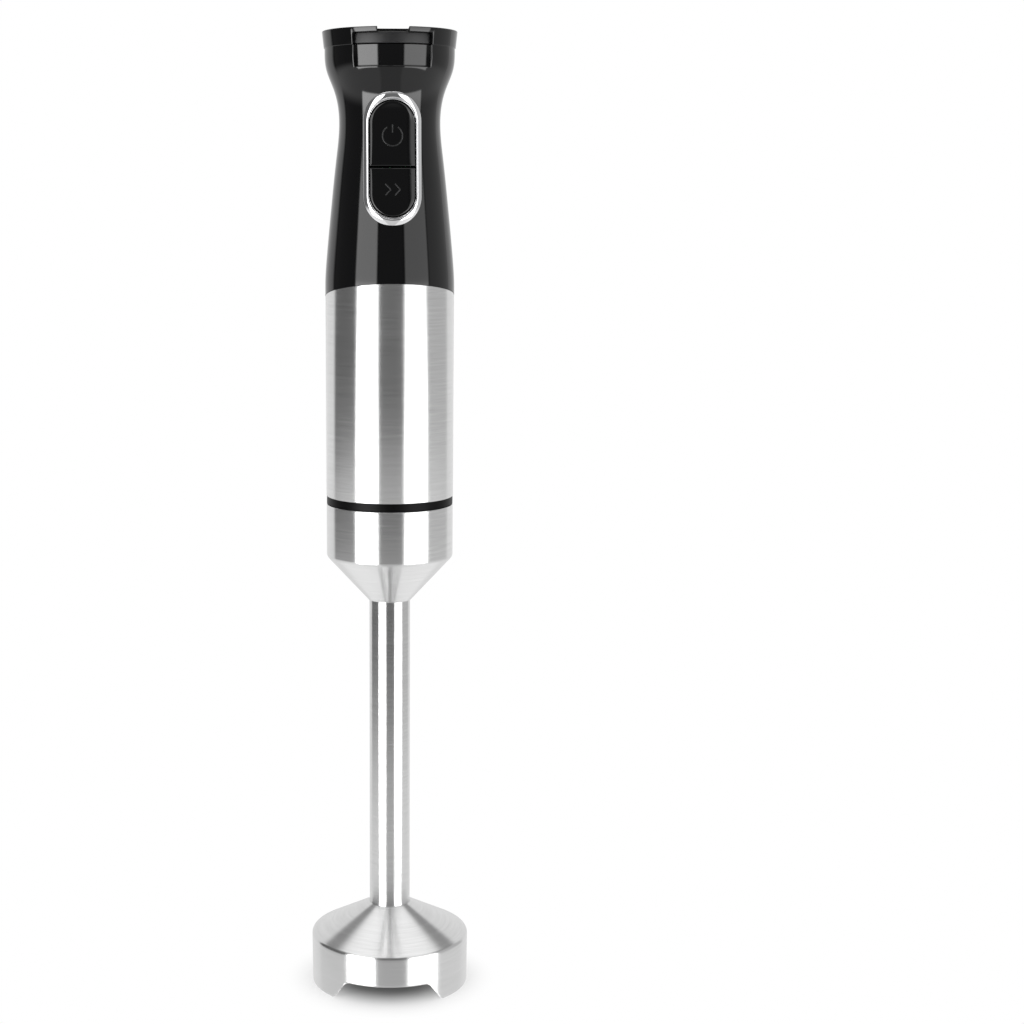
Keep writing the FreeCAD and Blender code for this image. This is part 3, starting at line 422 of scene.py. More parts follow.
def soften(piece, width, limit):
    """Rounds every crease of a piece that is sharper than limit degrees."""
    modifier = piece.modifiers.new("soften", "BEVEL")
    modifier.width = width
    modifier.segments = 2
    modifier.limit_method = "ANGLE"
    modifier.angle_limit = math.radians(limit)
    modifier.use_clamp_overlap = False
    modifier.harden_normals = False
    apply_modifiers(piece)


def finish_piece(piece, body, replaced, slot, sharp=38, material=None):
    """Shades a piece, gives it its material, which is the slot's unless told, and joins it to its body."""
    piece.data.polygons.foreach_set("use_smooth", [True] * len(piece.data.polygons))
    piece.data.set_sharp_from_angle(angle=math.radians(sharp))
    piece.data.materials.clear()
    piece.data.materials.append(material or finish_for(slot))
    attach(piece, body)
    if replaced:
        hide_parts(*replaced)


# Shader maths

class Socket:
    """A value in a node tree; arithmetic on it adds the Math nodes that work it out."""

    def __init__(self, shader, link):
        self.shader = shader
        self.link = link

    def maths(self, operation, *values):
        """The result of a Math node."""
        return self.shader.node("ShaderNodeMath", {"operation": operation}, *values)

    def __add__(self, other):
        return self.maths("ADD", self, other)

    def __radd__(self, other):
        return self.maths("ADD", other, self)

    def __sub__(self, other):
        return self.maths("SUBTRACT", self, other)

    def __rsub__(self, other):
        return self.maths("SUBTRACT", other, self)

    def __mul__(self, other):
        return self.maths("MULTIPLY", self, other)

    def __rmul__(self, other):
        return self.maths("MULTIPLY", other, self)

    def zigzag(self):
        """Climbs from 0 to 1 and falls back, over and over."""
        return self.maths("PINGPONG", self, 1.0)

    def between(self, low, high):
        """0 below low, 1 above high, and a smooth climb from one to the other."""
        settings = {"interpolation_type": "SMOOTHSTEP", "clamp": True}
        return self.shader.node("ShaderNodeMapRange", settings, Value=self,
                                **{"From Min": low, "From Max": high, "To Min": 0.0, "To Max": 1.0})


class Shader:
    """Builds one material or world node tree."""

    def __init__(self, tree):
        self.tree = tree
        self.tree.nodes.clear()

    @classmethod
    def material(cls, name):
        """Starts a new material."""
        material = bpy.data.materials.new(name)
        material.use_nodes = True
        shader = cls(material.node_tree)
        shader.made = material
        return shader

    def node(self, kind, settings=None, *values, out=0, **named):
        """Adds a node: its settings first, then the values or links of its sockets."""
        node = self.tree.nodes.new(kind)
        for name, value in (settings or {}).items():
            setattr(node, name, value)
        pairs = [*zip(node.inputs, values), *((node.inputs[key], value) for key, value in named.items())]
        for socket, value in pairs:
            if isinstance(value, Socket):
                self.tree.links.new(value.link, socket)
            elif value is not None:
                socket.default_value = value
        return Socket(self, node.outputs[out]) if node.outputs else None

    def split(self, vector):
        """The three parts of a vector."""
        first = self.node("ShaderNodeSeparateXYZ", None, vector)
        return [Socket(self, output) for output in first.link.node.outputs]

    def object_point(self):
        """The place on the piece, in its own coordinates."""
        return self.node("ShaderNodeTexCoord", out=3)

    def from_axis(self, x, y):
        """The distance from the axis."""
        return self.node("ShaderNodeMath", {"operation": "SQRT"}, x * x + y * y)

    def join(self, x, y, z):
        """A vector from its three parts."""
        return self.node("ShaderNodeCombineXYZ", None, x, y, z)

    def noise(self, vector, scale, detail=2.0, roughness=0.5):
        """Soft random spots, from 0 to 1."""
        return self.node("ShaderNodeTexNoise", {"noise_dimensions": "3D"}, Vector=vector, Scale=scale,
                         Detail=detail, Roughness=roughness)

    def blend(self, factor, first, second):
        """A colour between two colours."""
        node = self.tree.nodes.new("ShaderNodeMix")
        node.data_type = "RGBA"
        for socket, value in ((node.inputs[0], factor), (node.inputs[6], first), (node.inputs[7], second)):
            if isinstance(value, Socket):
                self.tree.links.new(value.link, socket)
            else:
                socket.default_value = (*value, 1) if isinstance(value, tuple) else value
        return Socket(self, node.outputs[2])

    def bump(self, height, distance, strength):
        """A normal that is tilted by a height pattern."""
        return self.node("ShaderNodeBump", None, Strength=strength, Distance=distance, Height=height)

    def surface(self, **sockets):
        """The Principled surface and the material output; an underscore stands for a space."""
        named = {key.replace("_", " "): value for key, value in sockets.items()}
        bsdf = self.node("ShaderNodeBsdfPrincipled", None, **named)
        self.node("ShaderNodeOutputMaterial", None, bsdf)
        return self.made


def shades(tone, factor=1.0):
    """A colour as three numbers, made darker or lighter by a factor."""
    return tuple(min(part * factor, 1.0) for part in tone)


# Finishes

def gloss_plastic(name):
    """Polished black moulding: a deep clear gloss with the faint waviness of a moulded skin."""
    look = bpy.context.scene.hand_blender_finishes
    s = Shader.material(name)
    point = s.object_point()
    wave = s.noise(point, 90.0, 2.0)
    dust = s.noise(point, 900.0, 3.0)
    rough = 0.045 + wave * 0.03 + dust.between(0.55, 0.8) * 0.035
    tint = s.blend(wave, shades(look.black), shades(look.black, 1.5))
    return s.surface(Base_Color=tint, Roughness=rough, Normal=s.bump(wave, 0.00003, 0.35),
                     Specular_IOR_Level=0.5)


def satin_plastic(name, base):
    """Fine-textured satin black moulding."""
    look = bpy.context.scene.hand_blender_finishes
    s = Shader.material(name)
    point = s.object_point()
    grain = s.noise(point, 4200.0, 2.0)
    wave = s.noise(point, 120.0, 2.0)
    tint = s.blend(grain, shades(look.satin_black), shades(look.satin_black, 1.6))
    return s.surface(Base_Color=tint, Roughness=base + wave * 0.05 + grain * 0.04,
                     Normal=s.bump(grain, 0.000004, 0.3))


def brushed_steel(name):
    """Stainless steel brushed round the axis: fine rings of scratches of uneven length and depth."""
    look = bpy.context.scene.hand_blender_finishes
    s = Shader.material(name)
    x, y, z = s.split(s.object_point())
    along = z + s.from_axis(x, y)
    fine = s.noise(s.join(x * 40.0, y * 40.0, along * 5200.0), 1.0, 3.0, 0.6)
    broad = s.noise(s.join(x * 60.0, y * 60.0, along * 1500.0), 1.0, 2.0, 0.5)
    cloud = s.noise(s.join(x, y, z), 45.0, 3.0)
    mark = fine * 0.65 + broad * 0.35
    tint = s.blend(mark.between(0.3, 0.7), shades(look.steel, 0.93), shades(look.steel, 1.05))
    roughness = look.steel_roughness + (mark - 0.5) * 0.14 + (cloud - 0.5) * 0.06
    return s.surface(Base_Color=tint, Metallic=1.0, Roughness=roughness,
                     Anisotropic=look.steel_grain, Anisotropic_Rotation=0.25,
                     Normal=s.bump(mark, 0.000008, 0.35))


def chrome(name):
    """Polished chrome with the faintest haze."""
    look = bpy.context.scene.hand_blender_finishes
    s = Shader.material(name)
    haze = s.noise(s.object_point(), 260.0, 3.0)
    tint = s.blend(haze, shades(look.chrome), shades(look.chrome, 0.96))
    return s.surface(Base_Color=tint, Metallic=1.0, Roughness=0.035 + haze * 0.04,
                     Normal=s.bump(haze, 0.00001, 0.2))


def ground_metal(name, tone, rough):
    """Machined metal with fine turned or ground lines."""
    s = Shader.material(name)
    x, y, z = s.split(s.object_point())
    lines = s.noise(s.join(x * 60.0, y * 60.0, z * 2400.0), 1.0, 3.0)
    stain = s.noise(s.join(x, y, z), 160.0, 3.0)
    tint = s.blend(lines, shades(tone, 0.8), tone)
    return s.surface(Base_Color=s.blend(stain.between(0.55, 0.85), tint, shades(tone, 0.7)),
                     Metallic=1.0, Roughness=rough + lines * 0.15, Normal=s.bump(lines, 0.00001, 0.4))


def moulded(name, tone, rough):
    """Plain moulding or rubber with a fine grain and slight unevenness of colour."""
    s = Shader.material(name)
    point = s.object_point()
    grain = s.noise(point, 2600.0, 3.0)
    cloud = s.noise(point, 80.0, 2.0)
    tint = s.blend(cloud, tone, shades(tone, 1.5))
    return s.surface(Base_Color=tint, Roughness=rough + grain * 0.12, Normal=s.bump(grain, 0.00002, 0.4))


def gasket(name):
    """Dull black rubber that mirrors next to nothing."""
    s = Shader.material(name)
    grain = s.noise(s.object_point(), 1800.0, 3.0)
    tint = s.blend(grain, (0.0010, 0.0010, 0.0011), (0.0022, 0.0022, 0.0023))
    return s.surface(Base_Color=tint, Roughness=0.34 + grain * 0.1, Normal=s.bump(grain, 0.00001, 0.3),
                     Specular_IOR_Level=0.1)


def laminations(name):
    """Stacked steel sheets: half-millimetre layers along the axis."""
    s = Shader.material(name)
    x, y, z = s.split(s.object_point())
    layer = (z * 2000.0).zigzag()
    speck = s.noise(s.join(x, y, z), 700.0, 3.0)
    tint = s.blend(layer, (0.10, 0.10, 0.11), (0.32, 0.32, 0.34))
    return s.surface(Base_Color=tint, Metallic=0.9, Roughness=0.38 + speck * 0.2,
                     Normal=s.bump(layer, 0.00004, 0.6))


def windings(name, tone):
    """Enamelled wire: fine parallel strands wound round the axis, with painted shade in the grooves where the
    strands meet.
    """
    s = Shader.material(name)
    x, y, z = s.split(s.object_point())
    strand_and_groove_shade = ((z + s.from_axis(x, y)) * 3600.0).zigzag()
    drift = s.noise(s.join(x, y, z), 300.0, 2.0)
    # The colour is painted darker where the strands meet, as shade in the grooves between the round wires;
    # the bump from the same pattern is the wires' real relief
    tint = s.blend(strand_and_groove_shade * 0.7 + drift * 0.3, shades(tone, 0.35), tone)
    return s.surface(Base_Color=tint, Metallic=0.85, Roughness=0.25 + drift * 0.15,
                     Normal=s.bump(strand_and_groove_shade, 0.00012, 0.8))


def laminate_board(name):
    """Green lacquered circuit board with copper tracks under the lacquer."""
    s = Shader.material(name)
    x, y, z = s.split(s.object_point())
    lanes = x * 420.0 + s.noise(s.join(x, y, z), 60.0) * 2.0
    track = lanes.zigzag().between(0.42, 0.5)
    tint = s.blend(track, (0.012, 0.09, 0.03), (0.03, 0.20, 0.06))
    return s.surface(Base_Color=tint, Roughness=0.28 + track * 0.12, Normal=s.bump(track, 0.00003, 0.6))


# For each slot: what makes its material, the material's name, and its tone and roughness where it has them
FINISH_MAKERS = {
    "handle_gloss": (gloss_plastic, "black_gloss_plastic"),
    "bezel_chrome": (chrome, "polished_chrome"),
    "brushed_steel": (brushed_steel, "brushed_steel"),
    "black_ring": (gasket, "black_gasket_rubber"),
    "inner_plastic": (moulded, "inner_black_plastic", (0.03, 0.03, 0.032), 0.45),
    "cast_alloy": (ground_metal, "cast_alloy", (0.62, 0.62, 0.63), 0.42),
    "bearing_steel": (ground_metal, "ground_steel", (0.66, 0.66, 0.67), 0.22),
    "lamination": (laminations, "laminated_iron"),
    "copper_wire": (windings, "enamelled_copper", (0.80, 0.36, 0.17)),
    "soft_rubber": (moulded, "soft_black_rubber", (0.02, 0.02, 0.02), 0.6),
    "brass": (ground_metal, "turned_brass", (0.80, 0.60, 0.28), 0.25),
    "carbon": (moulded, "pressed_carbon", (0.03, 0.03, 0.03), 0.5),
    "board": (laminate_board, "lacquered_board"),
    "capacitor_case": (moulded, "yellow_capacitor", (0.72, 0.50, 0.08), 0.3),
    "dial_satin": (satin_plastic, "dial_satin_plastic", 0.40),
    "button_satin": (gloss_plastic, "key_gloss_plastic"),
    "blade_steel": (ground_metal, "ground_blade_steel", (0.75, 0.75, 0.75), 0.2),
}
MADE_FINISHES = {}


def finish_for(slot):
    """The slot's material, which is made the first time that it is asked for."""
    if slot not in MADE_FINISHES:
        maker, *values = FINISH_MAKERS[slot]
        MADE_FINISHES[slot] = maker(*values)
    return MADE_FINISHES[slot]


# Operators: one for each piece or group of like pieces

class BuildOperator:
    """What all the building steps share"""
    bl_options = {"REGISTER", "UNDO"}

    def execute(self, context):
        self.build(context.scene)
        return {"FINISHED"}


def cut_at_seam(bm, slant, **side):
    """Cuts a mesh along the slanted seam and clears one side of it."""
    slope = Vector((0, math.sin(slant), math.cos(slant)))
    return bmesh.ops.bisect_plane(bm, geom=bm.verts[:] + bm.edges[:] + bm.faces[:], dist=MERGE_GAP,
                                  plane_co=(0, 0, seam_level(slant)), plane_no=slope, **side)


def shell_surface(scene, rear):
    """Half of the handle's outer skin, trimmed along the slanted seam."""
    sizes = scene.hand_blender_handle
    low = SLEEVE_HIGH.z - 2 * BODY_RADIUS * math.tan(sizes.seam_slant) - 2 * MM
    recess_foot = HEAD - sizes.recess_height
    levels = []
    for start, end, rows in ((low, recess_foot, 150), (recess_foot, HEAD, 14)):
        levels += [start + (end - start) * row / rows for row in range(rows)]
    levels.append(HEAD)
    start = 0 if rear else math.pi
    bm = lathe([(WALL.radius(level), level) for level in levels], sizes.spin_steps // 2, math.pi, start)
    cut_at_seam(bm, sizes.seam_slant, clear_inner=True)
    face_away(bm)
    return bm


def punch(bm, inside, snap):
    """Opens a hole: drops the faces whose middle is inside, then draws the hole's rim onto its outline."""
    gone = [face for face in bm.faces if inside(face.calc_center_median())]
    rim = {vert for face in gone for vert in face.verts}
    bmesh.ops.delete(bm, geom=gone, context="FACES")
    for vert in rim:
        if vert.is_valid and vert.is_boundary:
            vert.co = snap(vert.co)


def nearest_on(outline, point):
    """The nearest place on a closed (x, z) outline."""
    flat = Vector(point)
    best = None
    for start, end in zip(outline, outline[1:] + outline[:1]):
        a, b = Vector(start), Vector(end)
        run = b - a
        t = min(max((flat - a).dot(run) / run.length_squared, 0), 1) if run.length_squared else 0
        spot = a + run * t
        gap = (spot - flat).length
        if best is None or gap < best[0]:
            best = (gap, spot)
    return best[1]


def is_inside(outline, point):
    """Whether an (x, z) point lies inside a closed outline."""
    x, z = point
    odd = False
    for (ax, az), (bx, bz) in zip(outline, outline[1:] + outline[:1]):
        if (az > z) != (bz > z) and x < (bx - ax) * (z - az) / (bz - az) + ax:
            odd = not odd
    return odd


class HANDLE_OT_front_shell(BuildOperator, bpy.types.Operator):
    """Front handle shell with the thumb recess and the opening behind the bezel"""
    bl_idname = "hand_blender.front_shell"
    bl_label = "Front shell"

    def build(self, scene):
        sizes = scene.hand_blender_handle
        bm = shell_surface(scene, rear=False)
        under_bezel = 1.2 * MM
        outline = stadium(BEZEL_HIGH.x - under_bezel, BEZEL_LOW.z + under_bezel, BEZEL_HIGH.z - under_bezel)

        def snap(co):
            spot = nearest_on(outline, (co.x, co.z))
            return Vector((spot.x, -math.sqrt(WALL.radius(spot.y) ** 2 - spot.x ** 2), spot.y))

        punch(bm, lambda co: co.y < 0 and is_inside(outline, (co.x, co.z)), snap)

        recess_foot = HEAD - sizes.recess_height
        half = sizes.recess_half

        def in_recess(face):
            co = face.calc_center_median()
            return co.z > recess_foot and abs(math.atan2(co.x, -co.y)) < half

        faces = [face for face in bm.faces if in_recess(face)]
        grown = bmesh.ops.extrude_face_region(bm, geom=faces)
        bmesh.ops.delete(bm, geom=faces, context="FACES")
        floor_verts = [item for item in grown["geom"] if isinstance(item, bmesh.types.BMVert)]
        for vert in floor_verts:
            lean = sizes.recess_lean * (vert.co.z - recess_foot) / sizes.recess_height
            reach = BODY_RADIUS - sizes.recess_inset + lean
            vert.co.y = -math.sqrt(reach ** 2 - vert.co.x ** 2)
        lid = [face for face in bm.faces if all(vert.co.z > HEAD - 0.001 * MM for vert in face.verts)]
        bmesh.ops.delete(bm, geom=lid, context="FACES")
        bmesh.ops.remove_doubles(bm, verts=bm.verts, dist=MERGE_GAP)
        face_away(bm)
        creases = [edge for edge in bm.edges if len(edge.link_faces) == 2
                   and edge.calc_face_angle(0) > math.radians(40)]
        bevel(bm, creases, sizes.edge, 3, clamp_overlap=True)
        face_away(bm)
        shell = to_object(bm, "front_handle_shell")
        thicken(shell, sizes.wall)
        finish_piece(shell, "motor_unit", ["handle_front_shell"], "handle_gloss")


def thicken(piece, wall):
    """Gives a handle skin its wall, inwards, and keeps the inner side well below the outer surface."""
    outer_count = len(piece.data.vertices)
    modifier = piece.modifiers.new("wall", "SOLIDIFY")
    modifier.thickness = wall
    modifier.offset = -1
    apply_modifiers(piece)
    for vert in list(piece.data.vertices)[outer_count:]:
        reach = vert.co.xy.length
        limit = WALL.radius(vert.co.z) - wall / 2
        if reach > limit:
            vert.co.xy = vert.co.xy * (limit / reach)


def towards_back(x, level):
    """The place of a part that is turned about an axis running from front to back."""
    return Matrix.Translation((x, 0, level)) @ Matrix.Rotation(-math.pi / 2, 4, "X")


class HANDLE_OT_rear_shell(BuildOperator, bpy.types.Operator):
    """Rear handle shell with its screw holes, cooling slots and cord inlet"""
    bl_idname = "hand_blender.rear_shell"
    bl_label = "Rear shell"

    def build(self, scene):
        sizes = scene.hand_blender_handle
        shell = to_object(shell_surface(scene, rear=True), "rear_handle_shell")
        thicken(shell, sizes.wall)
        seam = seam_level(sizes.seam_slant)
        outside = 40 * MM
        inlet_hole, inlet_start = 5.4 * MM, 15 * MM
        screw_hole, screw_start, screw_side = 2.9 * MM, 5 * MM, 14.5 * MM
        low_screw, high_screws = seam + 16 * MM, HEAD - 11 * MM
        cutters = [drum(inlet_hole, inlet_start, outside, towards_back(0, GLAND_LEVEL))]
        for x, level in ((0, low_screw), (screw_side, high_screws), (-screw_side, high_screws)):
            cutters.append(drum(screw_hole, screw_start, outside, towards_back(x, level)))
        slot_low = (-1 * MM, 15 * MM, seam + 8 * MM)
        slot_high = (1 * MM, outside, seam + 19 * MM)
        first_slot, slot_pitch = 24, 11
        for side in (-1, 1):
            for count in range(4):
                turn = side * math.radians(slot_pitch * count + first_slot)
                box = rounded_box(slot_low, slot_high, 0.9 * MM, 3)
                bmesh.ops.rotate(box, cent=(0, 0, 0), matrix=Matrix.Rotation(turn, 3, "Z"), verts=box.verts)
                cutters.append(box)
        carve(shell, cutters)
        finish_piece(shell, "motor_unit", ["handle_rear_shell"], "handle_gloss")


class HANDLE_OT_cap(BuildOperator, bpy.types.Operator):
    """Top cap with the thumb window and the pointer notch"""
    bl_idname = "hand_blender.cap"
    bl_label = "Top cap"

    def build(self, scene):
        sizes = scene.hand_blender_handle
        rim = CAP_HIGH.x
        foot = rim - 0.75 * MM
        bore = foot - 1.45 * MM
        top = CAP_HIGH.z
        roof = top - 1.5 * MM
        dish = top - 0.4 * MM
        outline = rounded([(0, dish), (5 * MM, dish), (10 * MM, dish), (15 * MM, dish), (rim - 7 * MM, dish),
                           (rim - 2 * MM, top), (rim, top - 0.05 * MM), (foot, HEAD), (bore, HEAD),
                           (bore, roof), (0, roof)],
                          [0.1 * MM, 0.1 * MM, 0.1 * MM, 6 * MM, 1.5 * MM, 0.3 * MM, 0.25 * MM, 0.1 * MM,
                           0.3 * MM], 6)
        cap = to_object(turned(outline, sizes.spin_steps), "cap")
        half = sizes.recess_half + math.radians(0.5)
        lower, upper = HEAD - 1 * MM, top - 2.1 * MM
        near, far = bore - 3 * MM, rim + 6 * MM
        turns = [half * (count / 36 - 1) for count in range(73)]
        edge = [(far * math.sin(turn), -far * math.cos(turn), lower) for turn in turns]
        edge += [(near * math.sin(turn), -near * math.cos(turn), lower) for turn in reversed(turns)]
        window = block_of(edge, (0, 0, upper - lower))
        corners = [edge for edge in window.edges
                   if all(abs(vert.co.z - upper) < 0.01 * MM for vert in edge.verts)
                   and edge.calc_length() > 5 * MM]
        bevel(window, corners, 2.0 * MM, 6)
        notch_half = 6.3 * MM
        notch = rounded_box((-notch_half, -40 * MM, HEAD + 2 * MM),
                            (notch_half, -(rim - 8 * MM), top + 5 * MM))
        carve(cap, [window])
        carve(cap, [notch])
        soften(cap, 0.2 * MM, 40)
        finish_piece(cap, "motor_unit", ["top_cap"], "handle_gloss")


class HANDLE_OT_dial(BuildOperator, bpy.types.Operator):
    """Speed dial with its rim, its numbers and the marks beside them"""
    bl_idname = "hand_blender.dial"
    bl_label = "Speed dial"

    def build(self, scene):
        radius, top = DIAL_HIGH.x, DIAL_HIGH.z
        foot = HEAD + 0.4 * MM
        hub, bore = 6 * MM, 3 * MM
        roof = top - 1.5 * MM
        outline = rounded([(0, top), (radius, top), (radius, foot), (hub, foot), (hub, DIAL_LOW.z),
                           (bore, DIAL_LOW.z), (bore, roof), (0, roof)],
                          [0.55 * MM, 0.45 * MM, 0.4 * MM, 0.3 * MM, 0.1 * MM, 0.1 * MM], 5)
        finish_piece(to_object(turned(outline, 300), "dial"), "dial", ["speed_dial"], "dial_satin")
        white = moulded("printed_white_marks", (0.75, 0.75, 0.75), 0.4)
        marks = bmesh.new()
        figure_pitch, middle_figure = 25, 3
        for count in range(-5, 6):
            bar = rounded_box((-0.25 * MM, -radius + 0.9 * MM, top - 0.05 * MM),
                              (0.25 * MM, -radius + 2.1 * MM, top + 0.05 * MM), 0.04 * MM)
            turn = Matrix.Rotation(math.radians(figure_pitch * count + figure_pitch / 2), 4, "Z")
            bmesh.ops.transform(bar, matrix=turn, verts=bar.verts)
            add_mesh(marks, bar)
        for count in range(1, 6):
            turn = math.radians(-figure_pitch * (count - middle_figure))
            add_figure(marks, str(count), turn, radius - 3.4 * MM, top)
        settle(marks)
        finish_piece(to_object(marks, "dial_marks"), "dial", (), "dial_satin", material=white)


def add_figure(bm, text, turn, radius, level):
    """Adds a raised figure to a mesh, lying flat at a radius and a turn from the front."""
    curve = bpy.data.curves.new("figure", "FONT")
    curve.body = text
    curve.size = 3.2 * MM
    curve.extrude = 0.05 * MM
    curve.align_x = "CENTER"
    curve.align_y = "CENTER"
    holder = bpy.data.objects.new("figure", curve)
    bpy.context.scene.collection.objects.link(holder)
    bpy.context.view_layer.update()
    mesh = bpy.data.meshes.new_from_object(holder.evaluated_get(bpy.context.evaluated_depsgraph_get()))
    mesh.transform(Matrix.Rotation(turn, 4, "Z") @ Matrix.Translation((0, -radius, level)))
    bm.from_mesh(mesh)
    bpy.data.objects.remove(holder)
    bpy.data.curves.remove(curve)
    bpy.data.meshes.remove(mesh)


class KEYS_OT_bezel(BuildOperator, bpy.types.Operator):
    """Chrome bezel round the two keys"""
    bl_idname = "hand_blender.bezel"
    bl_label = "Bezel"

    def build(self, scene):
        sizes = scene.hand_blender_keys
        trim = 0.2 * MM
        outer = stadium(BEZEL_HIGH.x - trim, BEZEL_LOW.z + trim, BEZEL_HIGH.z - trim)
        inner = stadium(BEZEL_HIGH.x - sizes.bezel_side, BEZEL_LOW.z + sizes.bezel_end,
                        BEZEL_HIGH.z - sizes.bezel_end)
        crest = sizes.bezel_proud
        sunk = -2.6 * MM
        # Share of the bezel's width from its outer edge, and share of its height
        flank = ((0.0, -0.45), (0.04, -0.20), (0.12, 0.04), (0.24, 0.33), (0.38, 0.60), (0.52, 0.82),
                 (0.64, 0.95), (0.72, 1.0), (0.78, 0.98), (0.82, 0.88), (0.84, 0.66), (0.85, 0.36),
                 (0.87, 0.26), (0.91, 0.30), (0.95, 0.30), (0.98, 0.22), (1.0, 0.0))
        section = [(0.0, sunk), *((across, rise * crest) for across, rise in flank), (1.0, sunk)]
        loops = []
        for across, proud in section:
            loops.append([front_point(a[0] + (b[0] - a[0]) * across, a[1] + (b[1] - a[1]) * across, proud)
                          for a, b in zip(outer, inner)])
        bm = bmesh.new()
        loft(bm, loops, closed=True)
        settle(bm)
        finish_piece(to_object(bm, "bezel"), "motor_unit", ["button_bezel"], "bezel_chrome", 50)


def key_outline(scene, low, high):
    """The part of the keys' stadium between two levels, with small corners at the split."""
    sizes = scene.hand_blender_keys
    half = BEZEL_HIGH.x - sizes.bezel_side - sizes.clearance
    whole_low = BEZEL_LOW.z + sizes.bezel_end + sizes.clearance
    whole_high = BEZEL_HIGH.z - sizes.bezel_end - sizes.clearance
    points = []
    for x, z in stadium(half, whole_low, whole_high):
        z = min(max(z, low), high)
        if not points or (Vector(points[-1]) - Vector((x, z))).length > 1e-6:
            points.append((x, z))
    spaced = []
    for a, b in zip(points, points[1:] + points[:1]):
        spaced.append(a)
        gap = (Vector(b) - Vector(a)).length
        parts = int(gap / (0.7 * MM))
        for k in range(1, parts):
            spaced.append((a[0] + (b[0] - a[0]) * k / parts, a[1] + (b[1] - a[1]) * k / parts))
    return spaced


def build_key(scene, name, node, low, high, back, body):
    """A key between two levels, crowned like the wall, with rounded edges and a flat back."""
    sizes = scene.hand_blender_keys
    outline = key_outline(scene, low, high)
    centre = Vector((0, (min(z for _, z in outline) + max(z for _, z in outline)) / 2))
    edge = sizes.key_edge

    def loop(inset, proud, fixed_y=None):
        points = []
        for x, z in outline:
            away = Vector((x, z)) - centre
            factor = max(1 - inset / away.length, 0)
            spot = centre + away * factor
            point = front_point(spot.x, spot.y, proud)
            if fixed_y is not None:
                point.y = fixed_y
            points.append(point)
        return points

    edge_steps, crown_steps = 6, 16
    loops = [loop(0, 0, back), loop(0, sizes.key_proud - edge)]
    for step in range(1, edge_steps + 1):
        turn = math.pi / 2 * step / edge_steps
        loops.append(loop(edge * (1 - math.cos(turn)), sizes.key_proud - edge * (1 - math.sin(turn))))
    span = max((Vector(point) - centre).length for point in outline)
    for step in range(1, crown_steps):
        loops.append(loop(edge + (span - edge) * 0.97 * (step / crown_steps), sizes.key_proud))
    bm = bmesh.new()
    rings = loft(bm, loops)
    bmesh.ops.holes_fill(bm, edges=rings[0] + rings[-1], sides=0)
    settle(bm)
    finish_piece(to_object(bm, name), body, [node], "button_satin", 50)


def ridge(bm, points, half_width, height):
    """A low rounded line on the key surface along (x, z) points."""
    section = [(math.cos(math.pi * k / 6), math.sin(math.pi * k / 6)) for k in range(7)]
    section += [(-1, -1.2), (1, -1.2)]
    key_proud = bpy.context.scene.hand_blender_keys.key_proud
    loops = []
    for before, point, after in zip([points[0], *points], points, [*points[1:], points[-1]]):
        run = (Vector(after) - Vector(before)).normalized()
        side = Vector((run.y, -run.x))
        loops.append([front_point(point[0] + side.x * half_width * a, point[1] + side.y * half_width * a,
                                  key_proud + height * b)
                      for a, b in section])
    rings = loft(bm, loops)
    bmesh.ops.holes_fill(bm, edges=rings[0] + rings[-1], sides=0)


class KEYS_OT_keys(BuildOperator, bpy.types.Operator):
    """Power key and turbo key with their raised icons"""
    bl_idname = "hand_blender.keys"
    bl_label = "Keys"

    def build(self, scene):
        sizes = scene.hand_blender_keys
        split = (POWER_LOW.z + TURBO_HIGH.z) / 2
        gap = (POWER_LOW.z - TURBO_HIGH.z) / 2
        build_key(scene, "power_key_cap", "power_button", split + gap, 1, POWER_HIGH.y, "power_key")
        build_key(scene, "turbo_key_cap", "turbo_button", 0, split - gap, TURBO_HIGH.y, "turbo_key")
        middle = (POWER_LOW.z + POWER_HIGH.z) / 2 - 0.9 * MM
        radius = 4.0 * MM
        arc_start, arc_sweep, arc_steps = 32, 296, 48
        turns = [math.radians(arc_start + arc_sweep * k / arc_steps) for k in range(arc_steps + 1)]
        arc = [(radius * math.sin(turn), middle + radius * math.cos(turn)) for turn in turns]
        stem = [(0, middle + 1.2 * MM + 0.45 * MM * k) for k in range(8)]
        self.icon("power_icon", [arc, stem], sizes.icon_line, "power_key")
        middle = (TURBO_LOW.z + TURBO_HIGH.z) / 2 + 1.1 * MM
        half_wide, half_high = 1.1 * MM, 2.3 * MM
        bends = []
        for shift in (-1.9 * MM, 1.9 * MM):
            bend = [(shift - half_wide, middle + half_high), (shift + half_wide, middle),
                    (shift - half_wide, middle - half_high)]
            bends.append(rounded(bend, [0.5 * MM], 6))
        self.icon("turbo_icon", bends, sizes.icon_line, "turbo_key")

    def icon(self, name, lines, half_width, body):
        """A raised icon made of lines."""
        bm = bmesh.new()
        for line in lines:
            ridge(bm, line, half_width, 0.14 * MM)
        settle(bm)
        finish_piece(to_object(bm, name), body, (), "button_satin", 50, finish_for("dial_satin"))


